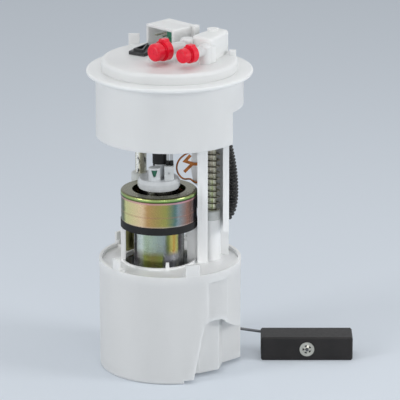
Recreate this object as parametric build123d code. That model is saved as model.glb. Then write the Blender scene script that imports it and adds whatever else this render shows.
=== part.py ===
from build123d import *
import math
import os

# Fuel pump module that hangs in the tank from its flange.
# Millimetres. z = 0 is the seal face under the flange, x = 0, y = 0 is the flange's axis,
# +Z is up, +X is the side of the float and -Y is the front.

# ---------------------------------------------------------------- driving dimensions
# Clearances
running_gap = 0.05      # radial, of a shaft or rod in its bush
free_gap = 0.3          # between pieces that move past each other
slip_gap = 0.2          # between a moulding and what drops into it
cut = 1.0               # how far a cut starts outside the face it opens

# Tank flange and its skirt
flange_r = 64.0
flange_t = 3.2
flange_round = 1.3
dome_r = 52.4
dome_top = 11.5
dome_round = 3.0
dome_wall = 2.4
roof_t = 2.5
skirt_r = 56.8
skirt_wall = 2.2
skirt_ledge = 24.0      # depth at which the flat begins
skirt_len = 49.0
flat_x = 48.3

# Connector shroud; the ports of the flange all point along the port axis
port_turn = 225.0       # port axis, degrees from +X
shroud_mouth = -7.8     # along the port axis
shroud_len = 24.0
shroud_side = -33.4     # across the port axis
shroud_w = 30.0
shroud_top = 31.0
shroud_wall = 2.2
shroud_back = 8.0
shroud_floor = 15.0
blade_n = 4
blade_w = 2.4
blade_t = 0.8
blade_len = 11.0
blade_drop = 4.0        # below the roof of the dome
insert_len = 9.0
insert_side = 0.6       # blade spacings beside the second blade
insert_drop = 2.0       # of the insert's top below the roof of the shroud
lug_size = (5.0, 4.0, 0.6)  # along and across the port axis, and above the shroud

# Line nipples, tower and transport caps
nipple_r = 4.0
nipple_bore_r = 2.5
nipple_z = 21.5
nipple_edge = 0.8
nipple_y = (9.3, 31.3)
elbow_x = (-10.0, -6.9)
elbow_r = (5.6, 4.8)
elbow_round = 0.45      # share of the elbow's radius, as are the next two
root_half_w = 0.8
root_rise = 0.6
nipple_tip = (23.5, 16.0)
cap_tip = (27.3, 19.6)
cap_len = (15.0, 13.6)
cap_r = (6.9, 5.6)
collar_r = (7.9, 6.8)
cap_end_t = 2.2
cap_wall = 0.7
cap_collar = 0.36       # shares of the cap's length, from its open end
cap_groove = (0.44, 0.54)
cap_round = 0.4         # share of the cap's radius
tab_w = 6.0
tab_h = (1.3, 0.6)
tab_round = 0.6         # share of the tab's height
tower_top = 29.0
tower_plan = ((-12.0, 12.0), (-12.0, 33.0), (-44.2, 20.2), (-44.2, 6.0))
tower_edge = 3.0
pad_h = 1.4
pad_r = 4.2
pad_inset = (9.0, -8.5)

# Black plate on the dome
plate_corner = (-32.0, 10.0)
plate_turn = 58.0
plate_len = 28.0
plate_w = 15.0
plate_t = 2.6
plate_round = 1.5
plate_bevel = 0.5
ridge_h = 1.8
ridge_w = 1.2
ridge_in = 3.0          # from the plate's edge

# Upright lugs on the dome: x, y and top
lug_left = ((-32.2, -23.6), (41.5, 44.5), 19.5)
lug_right = ((46.0, 51.0), (6.0, 11.0), 15.0)

# Guide rods, bushes and spring
rod_r = 4.4
rod_bore_r = 3.3
right_rod = (31.6, 2.5)
left_rod = (-23.0, 37.0)
rod_boss_wall = 3.6
rod_boss_drop = 4.0
rod_socket = 11.0
right_seat_z = -118.0   # top of the guide tube, under the bush
left_seat_z = -98.0
bush_wall = 3.2
bush_h = 7.4
bush_edge = 0.8
clip_t = 1.6
clip_groove = 0.6
rod_tail = 8.0
rod_edge = 0.5
guide_bore_r = 6.2
guide_wall = 1.5
guide_end_z = -222.0
spring_wire = 0.6
spring_r = 6.7
spring_pitch = 4.9

# Reservoir pot
pot_r = 55.0
pot_wall = 2.2
pot_top = -148.0
pot_round = 2.0
pot_bottom = -235.0
pot_step = 3.0
pot_step_x = 11.0
band_h = 6.8
band_t = 0.3
pocket_y = 23.4
pocket_top = -158.0
recess_front = ((27.0, -188.0), (40.5, -188.0), (60.0, -207.0), (60.0, -245.0), (16.0, -245.0))
recess_plan = ((10.0, -38.5), (22.5, -36.5), (38.0, -27.0), (40.5, -12.5), (61.0, 7.5), (61.0, -61.0),
               (10.0, -61.0))
facet_front = ((30.0, -155.2), (60.0, -155.2), (60.0, -190.0), (30.0, -190.0))
facet_plan = ((28.0, -41.2), (30.0, -41.2), (44.5, -32.2), (61.0, -61.0), (28.0, -61.0))
latch_deg = (220.9, -70.9, 138.7, 70.9)
latch_w = (7.5, 11.0, 7.5, 11.0)
latch_rise = 9.0
latch_hook = 2.6
latch_t = 2.2
latch_low = 3.0         # below the top of the pot
ledge_w = 1.3
ledge_h = 2.5
standpipe_h = 10.0
standpipe_slot = (6.0, 8.0)     # width and height of the way in for the fuel
cushion_shelf = 2.0
foot_valve_deg = 225.0
foot_valve_r = 7.0
foot_valve_t = 1.2
foot_valve_stem_r = 1.5
foot_valve_hole_r = 1.2
foot_valve_ring_r = 4.0
foot_valve_holes = 6
wall_room = 3.4         # between the foot valve and the wall

# Carrier: cover of the pot, column and posts
cover_z = -150.6
cover_t = 2.2
cover_gap = 0.2
mouth_r = 27.5
mouth_lip = 1.6
mouth_lip_t = 1.5
stop_w = (3.7, 2.3)      # at its foot and its top
stop_h = 6.2            # above the cover
stop_t = 1.7
stop_at = (-1.8, -27.6) # its middle in x and its back
column_x = (21.3, 45.7)
column_y = (-10.0, 14.0)
column_top = -46.0
column_wall = 2.2
column_lip_x = 29.3
column_side_x = 41.0
column_side_end = -125.5
column_core = 1.5       # wall round the hollow of the right side
groove_in = 5.5         # from the lip's edge
groove_w = 0.6
groove_z = (-116.0, -88.0)
slit_z = (-104.0, -84.0)
slit_w = 1.6
slit_depth = 3.0
slit_bite = 0.3         # of the slit into the right side
fin_outline = ((21.3, -60.0), (17.5, -62.0), (16.0, -78.0), (18.5, -90.5), (21.3, -92.0))
fin_y = (5.0, 6.5)
post_x = (-38.2, -34.4)
post_w = 10.0
rear_w = 8.0
web_w = 4.0
web_gap = 1.0           # from the filter's hole to the web on the column
rear_y = (26.5, 30.9)

# Pump and filter, both on the pump's axis
pump_x = -8.5
can_r = 19.6
can_wall = 1.0
can_foot = 30.0         # above the underside of the pot
can_shoulder = -104.0
can_neck_z = -97.0
can_neck_r = 15.6
can_round = 2.4
shoulder_in = 0.4       # of the inner shoulder below the outer one
can_top = -91.6
cap_under = -90.0
cap_top = -83.9
cap_rim_r = 16.5
cap_rim_top_r = 15.0
cap_rim_slope = 2.6
cap_ring = 1.0          # of the cap over the wall of the can's neck
outlet_at = (-8.0, 0.0)
outlet_r = 3.5
outlet_bore_r = 2.6
outlet_seat_r = 1.6
nozzle_edge = 0.4
outlet_top = -60.0
outlet_floor = 2.0      # between the upper bearing and the outlet's bore
valve_z = -80.0
valve_len = 4.0
valve_nose = 0.7
cage_drop = 3.0
cage_h = 2.0
valve_spring_pitch = 2.0
valve_wire_r = 0.3
relief_at = (-11.8, -8.0)
relief_r = 4.65
relief_bore_r = 2.9
relief_top = -73.5
relief_depth = 6.0
relief_roof = 1.6
window_top_w = 5.0
window_low_w = 1.6
window_h = 5.4
plug_size = (7.5, 8.0, 11.0)
plug_at = (-0.5, -5.0)
plug_hood = 4.0         # of the plug above the pins
plug_edge = (0.8, 0.4)
plug_lead_x = (-1.0, 1.9)
plug_window = (1.7, 1.7, 4.5)
pin_size = (1.8, 0.8, 3.0)
brush_w = 4.4
holder_w = 7.2
holder_depth = 4.0
holder_rise = 1.0       # above the foot of the commutator
brush_spring_len = 3.2
brush_spring_r = (1.9, 1.2)
filter_r = 29.4
filter_hole_r = 20.8
filter_top = -93.0
filter_seam = -97.5
filter_bottom = -116.5
filter_wall = 0.8
lid_proud = 0.3
lid_round = 1.6
lid_nipple = 9.0
lid_nipple_x = 0.5      # from the pump's axis
port_y = 22.0
port_drop = 2.0         # below the middle of the housing
port_root = 12.0        # from the pump's axis
port_tip = 18.0
pleats = 30
pleat_in = 1.2          # of a fold's inner edge from the inner wall
pleat_room = 1.0        # above the element
cushion_t = 5.8
cushion_proud = 0.4
shaft_r = 1.5
bearing_r = 4.0
bearing_h = 4.0
bearing_wall = 2.0
bearing_drop = 1.0      # of the upper bearing below the can's neck
rotor_r = 11.5
rotor_z = (-176.0, -124.0)
rotor_slots = 8
commutator_r = 6.0
commutator_z = (-117.0, -107.0)
commutator_nick = (1.2, 0.5, 4.0)
rotor_slot = (3.8, 1.2)
winding_in = 2.5
winding_h = 4.0
magnet_t = 5.0
magnet_over = 2.0
magnet_gap = 16.0
impeller_r = 14.0
impeller_t = 3.0
shaft_foot = 1.5        # below the impeller
shaft_head = 0.5        # below the top of the upper bearing
impeller_h = 12.0       # top of the impeller above the can's floor
chamber_t = 4.0
chamber_port_r = 2.0
chamber_port_y = 11.0
vanes = 24
vane_size = (2.6, 1.4)
vane_rim = 0.8
cushion_seat_r = 22.0
cushion_h = 10.0

regulator_at = (-33.0, 26.0)
regulator_r = 6.0
regulator_top = -124.0
regulator_neck_r = 4.0
regulator_neck = 3.2
regulator_waist = 0.8   # of the body inside the crimp
regulator_lid = 1.2     # of the lid inside the crimp
regulator_edge = 1.0
crimp_z = (-136.0, -133.0)
jet_at = (-42.0, 8.0)
jet_r = 4.0
jet_len = 24.0
jet_rise = 6.8
jet_line_r = 2.5
jet_line_wall = 1.0
jet_plug_len = 4.0
jet_drop = (16.0, 18.0)
riser_h = 14.0
riser_wall = 1.2
throat_wall = 1.5
throat_start = 1.0      # of the wide bore in front of the riser
nozzle_start = 2.0      # of the nozzle in front of the riser
nozzle_r = 0.8
strainer_r = 15.0
strainer_edge = 2.0
strainer_neck = 1.4
strainer_h = (7.0, 13.0)    # above the underside of the pot
inlet_pipe_r = 4.0
inlet_pipe_wall = 1.2
inlet_pipe_len = 7.0
inlet_pipe_y = -8.0

# Hoses and leads
hose_r = 5.4
hose_start = 11.5        # above the end cap
hose_sink = 1.0         # of the hose's end above the lid
loop_slack = 0.05       # between the two bends of the outlet hose
loop_z = -38.0
corrugated_r = 6.0
hose_top = (38.0, 22.0)
hose_turn = ((26.0, 0.0), (36.0, -124.5), (47.3, -119.0), (47.3, -84.0))
hose_turn_top = -46.0
lead_r = 1.1
lead_drop = -12.0
lead_turn = (-52.0, -22.0, 10.0, 1.5)
thin_lead_r = 0.8
sender_lead_gap = 2.8
sender_lead_deg = 58.7
sender_lead_out = 4.7
sender_lead_x = 24.0
sender_lead_in = (9.0, 6.0)
sender_lead_z = (-55.0, -105.0, -164.0, -168.0)

# Copper strap on the column's fin and the lead beside it, as (x, z) points
strap_w = 2.3
strap_t = 0.8
strap_points = ((15.9, -67.7), (11.7, -72.5), (17.6, -74.5), (11.1, -81.2))
strap_tail_z = -74.8
strap_tail_x = 0.6
copper_lead_r = 0.7
copper_lead_points = ((21.3, -64.0), (15.5, -64.0), (6.5, -70.5), (4.6, -79.5), (9.8, -87.0), (16.0, -86.0),
                      (18.5, -89.2), (21.3, -89.2))

# Level sender, float
pivot = (18.0, -175.0)
sender_t = 1.6
card_t = 0.8
hub_r = 6.0
hub_t = 4.0
pin_r = 2.0
pin_head_t = 0.9
pin_head_r = 1.0        # of the head over the pin
bracket_x = (6.0, 31.0)
bracket_z = (-198.5, -160.0)
card_x = (8.0, 28.0)
card_z = (-192.0, -182.0)
arm_stop_x = (21.0, 25.0)
arm_stop_h = 3.5
arm_stop_in = 1.2       # of the stop behind the pin's head
bracket_round = 2.0
wiper_size = (12.5, 0.3, 2.4)
wiper_deg = 120.0
wire_r = 1.1
arm_points = ((19.4, -178.5), (24.0, -190.0), (40.0, -215.5))
arm_bends = (8.0, 14.0, 2.0)
arm_out = 2.4
float_size = (72.0, 25.0, 19.0)
float_at = (107.3, 13.4, -225.3)
float_edge = 1.2
float_clip_r = 5.75
float_clip_t = 0.8

# ---------------------------------------------------------------- helpers
UP = (Align.CENTER, Align.CENTER, Align.MIN)
CORNER = (Align.MIN, Align.MIN, Align.MIN)
OUTER = (Align.MAX, Align.CENTER, Align.MIN)
PORTS = Rot(0, 0, port_turn)    # local x runs along the port axis, local y across it
pump_at = (pump_x, 0.0)
far = 400.0                     # longer than any piece, for cuts that run right through
can_bottom = pot_bottom + can_foot
impeller_top = can_bottom + impeller_h
strainer_z = (pot_bottom + strainer_h[0], pot_bottom + strainer_h[1])


def bar(radius, low, high, at=(0.0, 0.0)):
    """Upright round bar between two heights."""
    return Pos(at[0], at[1], low) * Cylinder(radius, high - low, align=UP)


def tube(outer, inner, low, high, at=(0.0, 0.0)):
    """Upright tube between two heights."""
    return bar(outer, low, high, at) - bar(inner, low, high, at)


def block(xs, ys, zs):
    """Box given by its three pairs of low and high."""
    size = (xs[1] - xs[0], ys[1] - ys[0], zs[1] - zs[0])
    return Pos(xs[0], ys[0], zs[0]) * Box(*size, align=CORNER)


def turned(profile, at=(0.0, 0.0)):
    """Body turned about an upright axis from (radius, z) points."""
    face = make_face(Plane.XZ * Polyline(*profile, close=True))
    return Pos(at[0], at[1], 0) * revolve(face, Axis.Z)


def front_plate(outline, back_y, front_y):
    """Plate with an (x, z) outline between two y planes."""
    plane = Plane(origin=(0, back_y, 0), x_dir=(1, 0, 0), z_dir=(0, -1, 0))
    return extrude(make_face(plane * Polyline(*outline, close=True)), back_y - front_y, dir=(0, -1, 0))


def floor_plate(outline, low, high):
    """Plate with an (x, y) outline between two heights."""
    face = make_face(Pos(0, 0, low) * Polyline(*outline, close=True))
    return extrude(face, high - low, dir=(0, 0, 1))


def cross_bar(radius, at, ys):
    """Round bar along y through (x, z)."""
    plane = Plane(origin=(at[0], ys[1], at[1]), z_dir=(0, -1, 0))
    return extrude(plane * Circle(radius), ys[1] - ys[0])


def ring_edges(part, z, radius):
    """Circular edges at one height with one radius."""
    rings = part.edges().filter_by(GeomType.CIRCLE)
    return [e for e in rings if abs(e.center().Z - z) < 0.01 and abs(e.radius - radius) < 0.01]


def easy_radii(points, share=0.45):
    """Arc radius at each corner of a route, as large as its two runs allow."""
    radii = []
    for before, corner, after in zip(points, points[1:], points[2:]):
        run_in = Vector(corner) - Vector(before)
        run_out = Vector(after) - Vector(corner)
        turn = math.radians(run_in.get_angle(run_out))
        radii.append(share * min(run_in.length, run_out.length) / math.tan(turn / 2))
    return radii


def bent(points, outer, inner=0.0, radii=None):
    """Bar or tube along straight runs joined by tangent arcs."""
    path = FilletPolyline(*points, radius=radii or easy_radii(points))
    section = Circle(outer)
    if inner:
        section = section - Circle(inner)
    return sweep(Plane(origin=path @ 0, z_dir=path % 0) * section, path=path)


os.makedirs("parts", exist_ok=True)


def keep(name, shape):
    export_step(shape, f"parts/{name}.step")


# ---------------------------------------------------------------- tank flange
roof_z = dome_top - roof_t
skirt_in = skirt_r - skirt_wall
rod_boss_r = rod_r + rod_boss_wall
rod_top = rod_socket - rod_boss_drop
flat_in = flat_x - skirt_wall

rim = bar(flange_r, 0, flange_t)
rim = fillet(ring_edges(rim, flange_t, flange_r) + ring_edges(rim, 0, flange_r), flange_round)
dome = bar(dome_r, 0, dome_top)
dome = fillet(ring_edges(dome, dome_top, dome_r), dome_round)
skirt = bar(skirt_r, -skirt_len, 0) - block((flat_x, far), (-far, far), (-far, -skirt_ledge))
hollow = bar(skirt_in, -skirt_len, 0)
hollow -= block((flat_in, far), (-far, far), (-far, skirt_wall - skirt_ledge))
hollow += bar(dome_r - dome_wall, 0, roof_z)
flange = rim + dome + skirt - hollow
for spot in (right_rod, left_rod):
    flange += bar(rod_boss_r, -rod_boss_drop, roof_z, spot)
    flange -= bar(rod_r, -rod_boss_drop, rod_top, spot)

# Connector shroud with its blades through the back wall and the roof
shroud_back_x = shroud_mouth - shroud_len
shroud_far_y = shroud_side + shroud_w
shroud = block((shroud_back_x, shroud_mouth), (shroud_side, shroud_far_y), (roof_z, shroud_top))
shroud = fillet(shroud.edges().filter_by(Axis.X).group_by(Axis.Z)[-1], shroud_wall * 0.45)
cavity_x = (shroud_back_x + shroud_back, shroud_mouth)
cavity_y = (shroud_side + shroud_wall, shroud_far_y - shroud_wall)
cavity_z = (shroud_floor, shroud_top - shroud_wall)
shroud -= block(cavity_x, cavity_y, cavity_z)
lug_x = (shroud_back_x, shroud_back_x + lug_size[0])
shroud += block(lug_x, (shroud_far_y, shroud_far_y + lug_size[1]), (roof_z, shroud_top + lug_size[2]))
flange += PORTS * shroud

blade_z = (cavity_z[0] + cavity_z[1]) / 2
blade_gap = (cavity_y[1] - cavity_y[0]) / blade_n
blade_root = shroud_back_x + shroud_back / 2
blade_y = [cavity_y[0] + blade_gap * (i + 0.5) for i in range(blade_n)]
blade_foot = roof_z - blade_drop
blade_set = []
for y in blade_y:
    flat = block((blade_root, cavity_x[0] + blade_len), (y - blade_w / 2, y + blade_w / 2),
                 (blade_z - blade_t / 2, blade_z + blade_t / 2))
    leg = block((blade_root, blade_root + blade_t), (y - blade_w / 2, y + blade_w / 2),
                (blade_foot, blade_z))
    blade_set.append(PORTS * (flat + leg))
for blade in blade_set:
    flange -= blade

insert = block((cavity_x[0], cavity_x[0] + insert_len), (blade_y[1] + blade_gap * insert_side, cavity_y[1]),
               (cavity_z[0], cavity_z[1] - insert_drop))
insert = PORTS * insert
for blade in blade_set:
    insert -= blade

# Tower with the elbows of the two line nipples
tower = floor_plate(tower_plan, roof_z, tower_top)
tower = fillet(tower.edges().filter_by(Axis.Z), tower_edge)
tower = fillet(tower.faces().sort_by(Axis.Z)[-1].edges(), tower_edge * 0.7)
pad_at = (tower_plan[2][0] + pad_inset[0], tower_plan[2][1] + pad_inset[1])
tower += bar(pad_r, tower_top - pad_h, tower_top + pad_h, pad_at)
bores = []
for y, root, radius, tip in zip(nipple_y, elbow_x, elbow_r, nipple_tip):
    elbow = bar(radius, roof_z, nipple_z + radius, (root, y))
    elbow = fillet(ring_edges(elbow, nipple_z + radius, radius), radius * elbow_round)
    line = Plane(origin=(root, y, nipple_z), z_dir=(1, 0, 0))
    spout = extrude(line * Circle(nipple_r), tip - root)
    spout = chamfer(spout.edges().filter_by(GeomType.CIRCLE).sort_by(Axis.X)[-1], nipple_edge)
    tower += elbow + spout
    half = radius * root_half_w
    root_x = (tower_plan[1][0] - tower_edge, root)
    tower += block(root_x, (y - half, y + half), (roof_z, nipple_z + radius * root_rise))
    bores.append(extrude(line * Circle(nipple_bore_r), tip - root))
    bores.append(bar(nipple_bore_r, roof_z - cut, nipple_z, (root, y)))
flange += PORTS * tower
for bore in bores:
    flange -= PORTS * bore

for lug in (lug_left, lug_right):
    flange += block(lug[0], lug[1], (flange_t, lug[2]))

flange += bar(corrugated_r, -rod_boss_drop, roof_z, hose_top)
flange -= bar(nipple_bore_r, -rod_boss_drop, nipple_z, hose_top)
keep("tank_flange", flange)
keep("connector_blades", Compound(children=blade_set))
keep("connector_insert", insert)

# ---------------------------------------------------------------- pieces on the flange
# Black plate on the dome, cut away where the connector shroud stands on it
plate_place = Pos(plate_corner[0], plate_corner[1], dome_top) * Rot(0, 0, plate_turn)
plate = Box(plate_len, plate_w, plate_t, align=(Align.MIN, Align.MAX, Align.MIN))
plate = fillet(plate.edges().filter_by(Axis.Z), plate_round)
plate = chamfer(plate.faces().sort_by(Axis.Z)[-1].edges(), plate_bevel)
ridge_far = (plate_len - ridge_in, ridge_in - plate_w)
ridge_points = ((ridge_in, -ridge_in), (ridge_far[0], -ridge_in), (ridge_in, ridge_far[1]))
ridge = make_face(Polyline(*ridge_points, close=True))
ridge -= offset(ridge, -ridge_w, kind=Kind.INTERSECTION)
plate += Pos(0, 0, plate_t) * extrude(ridge, ridge_h, dir=(0, 0, 1))
plate = plate_place * plate
plate -= PORTS * block((shroud_back_x - cut, shroud_mouth), (shroud_side, shroud_far_y), (0, shroud_top))
plate = plate.solids().sort_by(SortBy.VOLUME)[-1]
keep("vent_plate", plate)

# Transport caps pushed on the nipples, each drawn along the port axis
for name, y, tip, length, radius, collar, rise in zip(
        ("cap_front", "cap_side"), nipple_y, cap_tip, cap_len, cap_r, collar_r, tab_h):
    start = Plane(origin=(tip - length, y, nipple_z), z_dir=(1, 0, 0))
    body = extrude(start * Circle(radius), length)
    body = fillet(body.edges().filter_by(GeomType.CIRCLE).sort_by(Axis.X)[-1], radius * cap_round)
    body += extrude(start * Circle(collar), length * cap_collar)
    groove = Plane(origin=(tip - length + length * cap_groove[0], y, nipple_z), z_dir=(1, 0, 0))
    groove_len = length * (cap_groove[1] - cap_groove[0])
    body -= extrude(groove * (Circle(collar) - Circle(radius - cap_wall)), groove_len)
    tab = block((tip - length, tip - length + length * cap_collar), (y - tab_w / 2, y + tab_w / 2),
                (nipple_z + radius, nipple_z + collar + rise))
    tab = fillet(tab.edges().filter_by(Axis.X).group_by(Axis.Z)[-1], (collar + rise - radius) * tab_round)
    body += tab
    body -= extrude(start * Circle(nipple_r + running_gap), length - cap_end_t)
    keep(name, PORTS * body)

# Guide rods with their clips under the bushes
bush_r = rod_r + bush_wall
clip_r = guide_bore_r - free_gap
clips = []
rod_seats = (("right", right_rod, right_seat_z), ("left", left_rod, left_seat_z))
for side, spot, seat_z in rod_seats:
    clip_top = seat_z - slip_gap
    rod_end = clip_top - clip_t - rod_tail
    rod = tube(rod_r, rod_bore_r, rod_end, rod_top, spot)
    rod = chamfer(ring_edges(rod, rod_end, rod_r), rod_edge)
    rod -= tube(rod_r, rod_r - clip_groove, clip_top - clip_t, clip_top, spot)
    keep(f"guide_rod_{side}", rod)
    clips.append(tube(clip_r, rod_r - clip_groove, clip_top - clip_t, clip_top, spot))
keep("rod_clips", Compound(children=clips))

# Bushes that slide on the rods and rest on the guide tubes
for side, spot, seat_z in rod_seats:
    bush = tube(bush_r, rod_r + running_gap, seat_z, seat_z + bush_h, spot)
    keep(f"bush_{side}", chamfer(ring_edges(bush, seat_z + bush_h, bush_r), bush_edge))

# Compression spring round the right rod
spring_low = right_seat_z + bush_h + spring_wire
spring_high = -rod_boss_drop - spring_wire
coil = Helix(spring_pitch, spring_high - spring_low, spring_r, center=(*right_rod, spring_low))
coil_start = Plane(origin=coil @ 0, z_dir=coil % 0)
spring = sweep(coil_start * RegularPolygon(spring_wire * 1.08, 6), path=coil, is_frenet=True)
keep("compression_spring", spring)

# ---------------------------------------------------------------- reservoir pot
pot_in = pot_r - pot_wall
left_floor = pot_bottom + pot_wall
right_floor = pot_bottom + pot_step + pot_wall
cover_under = cover_z - cover_t


def set_back(front, plan, wall=0.0):
    """Space outside the pot where its wall steps back, or that space with the wall round it."""
    sheets = (make_face(Plane.XZ * Polyline(*front, close=True)), make_face(Polyline(*plan, close=True)))
    if wall:
        sheets = [offset(sheet, wall, kind=Kind.INTERSECTION) for sheet in sheets]
    room = extrude(sheets[0], far, dir=(0, -1, 0)) + extrude(sheets[0], pocket_y, dir=(0, 1, 0))
    return room & Pos(0, 0, 2 * pot_bottom) * extrude(sheets[1], -2 * pot_bottom, dir=(0, 0, 1))


outer = bar(pot_r, pot_bottom, pot_top)
outer = fillet(ring_edges(outer, pot_bottom, pot_r), pot_round)
outer += bar(pot_r + band_t, pot_top - band_h, pot_top)
outer -= block((pot_step_x, far), (-far, far), (-far, pot_bottom + pot_step))
outer -= block((0, far), (pocket_y, far), (-far, pocket_top))
outer -= set_back(recess_front, recess_plan) + set_back(facet_front, facet_plan)

inner = bar(pot_in, left_floor, pot_top)
inner -= block((pot_step_x - pot_wall, far), (-far, far), (-far, right_floor))
inner -= block((-pot_wall, far), (pocket_y - pot_wall, far), (-far, pocket_top + pot_wall))
inner -= set_back(recess_front, recess_plan, pot_wall) + set_back(facet_front, facet_plan, pot_wall)
pot = outer - inner

# Ledge that the cover rests on, and the latches that hold it down
pot += tube(pot_in, pot_in - ledge_w, cover_under - ledge_h, cover_under)
hook_low = cover_z + latch_hook
for turn, width in zip(latch_deg, latch_w):
    latch_y = (-width / 2, width / 2)
    tongue = block((pot_in, pot_in + latch_t), latch_y, (pot_top - latch_low, pot_top + latch_rise))
    hook = block((pot_in - latch_t, pot_in), latch_y, (hook_low, hook_low + latch_hook))
    pot += Rot(0, 0, turn) * (tongue + hook)

# Standpipe round the pump's foot, valve hole in the floor and the wall pin of the level sender
standpipe_r = cushion_seat_r + pot_wall
cushion_high = can_bottom + cushion_h
pot += tube(standpipe_r, cushion_seat_r, left_floor, can_bottom + standpipe_h, pump_at)
pot += tube(cushion_seat_r, can_r - cushion_shelf, can_bottom - cushion_shelf, can_bottom, pump_at)
slot_y = (-standpipe_slot[0] / 2, standpipe_slot[0] / 2)
slot = block((-far, far), slot_y, (left_floor, left_floor + standpipe_slot[1]))
pot -= slot & bar(standpipe_r + cut, left_floor, 0, pump_at)
valve_place = Rot(0, 0, foot_valve_deg) * Pos(pot_in - foot_valve_r - wall_room, 0, 0)
pot -= valve_place * bar(foot_valve_stem_r, pot_bottom, left_floor)
for i in range(foot_valve_holes):
    spot = Rot(0, 0, 360 * i / foot_valve_holes) * Pos(foot_valve_ring_r, 0, 0)
    pot -= valve_place * spot * bar(foot_valve_hole_r, pot_bottom, left_floor)
keep("reservoir_pot", pot)

# ---------------------------------------------------------------- carrier
cover_r = pot_in - cover_gap
guide_r = guide_bore_r + guide_wall
carrier = bar(cover_r, cover_under, cover_z)
carrier += tube(mouth_r + mouth_lip_t, mouth_r, cover_z, cover_z + mouth_lip, pump_at)
stop_top = cover_z + stop_h
stop_outline = ((stop_at[0] - stop_w[0] / 2, cover_under), (stop_at[0] + stop_w[0] / 2, cover_under),
                (stop_at[0] + stop_w[1] / 2, stop_top), (stop_at[0] - stop_w[1] / 2, stop_top))
carrier += front_plate(stop_outline, stop_at[1], stop_at[1] - stop_t)

# Column: a channel open to the front, with a lip on its left wall
left_wall = (column_x[0], column_x[0] + column_wall)
right_wall = (column_side_x, column_x[1])
carrier += block(column_x, (column_y[1] - column_wall, column_y[1]), (cover_under, column_top))
carrier += block(left_wall, column_y, (cover_under, column_top))
lip_y = (column_y[0], column_y[0] + column_wall)
carrier += block((column_x[0], column_lip_x), lip_y, (cover_under, column_top))
carrier += block(right_wall, column_y, (column_side_end, column_top))
core_x = (right_wall[0] + column_core, right_wall[1] - column_core)
core_y = (column_y[0] + column_core, column_y[1] - column_wall - column_core)
carrier -= block(core_x, core_y, (column_side_end - cut, column_top - column_core))
groove_x = column_lip_x - groove_in
carrier -= block((groove_x, groove_x + groove_w), (column_y[0] - cut, column_y[0] + groove_w), groove_z)
slit_x = (column_side_x - slit_w, column_side_x + slit_bite)
carrier -= block(slit_x, (column_y[0] - cut, column_y[0] + slit_depth), slit_z)

# Guide tubes from under the bushes down into the pot
for spot, seat_z in ((right_rod, right_seat_z), (left_rod, left_seat_z)):
    carrier += bar(guide_r, guide_end_z, seat_z, spot)
carrier -= bar(mouth_r, 2 * pot_bottom, cover_z + mouth_lip, pump_at)

# Posts that hold the filter from below
cushion_bottom = filter_bottom - cushion_t
post_z = (cover_under, cushion_bottom)
carrier += block(post_x, (-post_w / 2, post_w / 2), post_z)
carrier += block((pump_x + filter_hole_r + web_gap, column_x[0]), (-web_w / 2, web_w / 2), post_z)
carrier += block((pump_x - rear_w / 2, pump_x + rear_w / 2), rear_y, post_z)
for spot, seat_z in ((right_rod, right_seat_z), (left_rod, left_seat_z)):
    carrier -= bar(guide_bore_r, guide_end_z + guide_wall, seat_z, spot)

# Lugs under the hooks of the pot's latches
for turn, width in zip(latch_deg, latch_w):
    lug_x = (pot_in - 2.0 * latch_t, cover_r - slip_gap)
    lug = block(lug_x, (-width / 2, width / 2), (cover_z, hook_low - slip_gap))
    carrier += Rot(0, 0, turn) * lug

# Fin beside the column for the earth strap, and the hole for the regulator's neck
carrier += front_plate(fin_outline, fin_y[1], fin_y[0])
carrier -= bar(regulator_neck_r, 2 * pot_bottom, cover_z, regulator_at)
keep("carrier", carrier)

# ---------------------------------------------------------------- filter round the pump
port_z = (filter_seam + filter_bottom) / 2 - port_drop
filter_mid_r = (filter_r + filter_hole_r) / 2
inlet_at = (pump_x + lid_nipple_x, filter_mid_r)

housing = tube(filter_r, filter_hole_r, filter_bottom, filter_seam, pump_at)
port_line = Plane(origin=(pump_x + port_root, port_y, port_z), z_dir=(1, 0, 0))
port_len = port_tip - pump_x - port_root
port_bar = extrude(port_line * Circle(outlet_r), port_len)
port_hole = extrude(port_line * Circle(nipple_bore_r), port_len)
housing += port_bar
ring_out = filter_r - filter_wall
ring_in = filter_hole_r + filter_wall
housing -= tube(ring_out, ring_in, filter_bottom + filter_wall, filter_seam, pump_at)
housing -= port_hole
housing = housing.solids().sort_by(SortBy.VOLUME)[-1]
keep("filter_housing", housing)

lid_r = filter_r + lid_proud
lid = tube(lid_r, filter_hole_r, filter_seam, filter_top, pump_at)
lid = fillet(ring_edges(lid, filter_top, lid_r), lid_round)
lid -= tube(ring_out, ring_in, filter_seam, filter_top - filter_wall, pump_at)
lid -= bar(nipple_bore_r, filter_top - filter_wall, filter_top, inlet_at)
lid += tube(outlet_r, nipple_bore_r, filter_top, filter_top + lid_nipple, inlet_at)
keep("filter_lid", lid)

fold_out = ring_out - slip_gap
fold_in = ring_in + slip_gap
fold = []
for i in range(2 * pleats):
    angle = math.pi * i / pleats
    reach = fold_out if i % 2 else fold_in + pleat_in
    fold.append((pump_x + reach * math.cos(angle), reach * math.sin(angle)))
element = floor_plate(fold, filter_bottom + filter_wall, filter_top - filter_wall - pleat_room)
element -= bar(fold_in, 2 * pot_bottom, 0, pump_at)
keep("filter_element", element)
keep("filter_cushion", tube(filter_r + cushion_proud, filter_hole_r, cushion_bottom, filter_bottom, pump_at))

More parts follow.
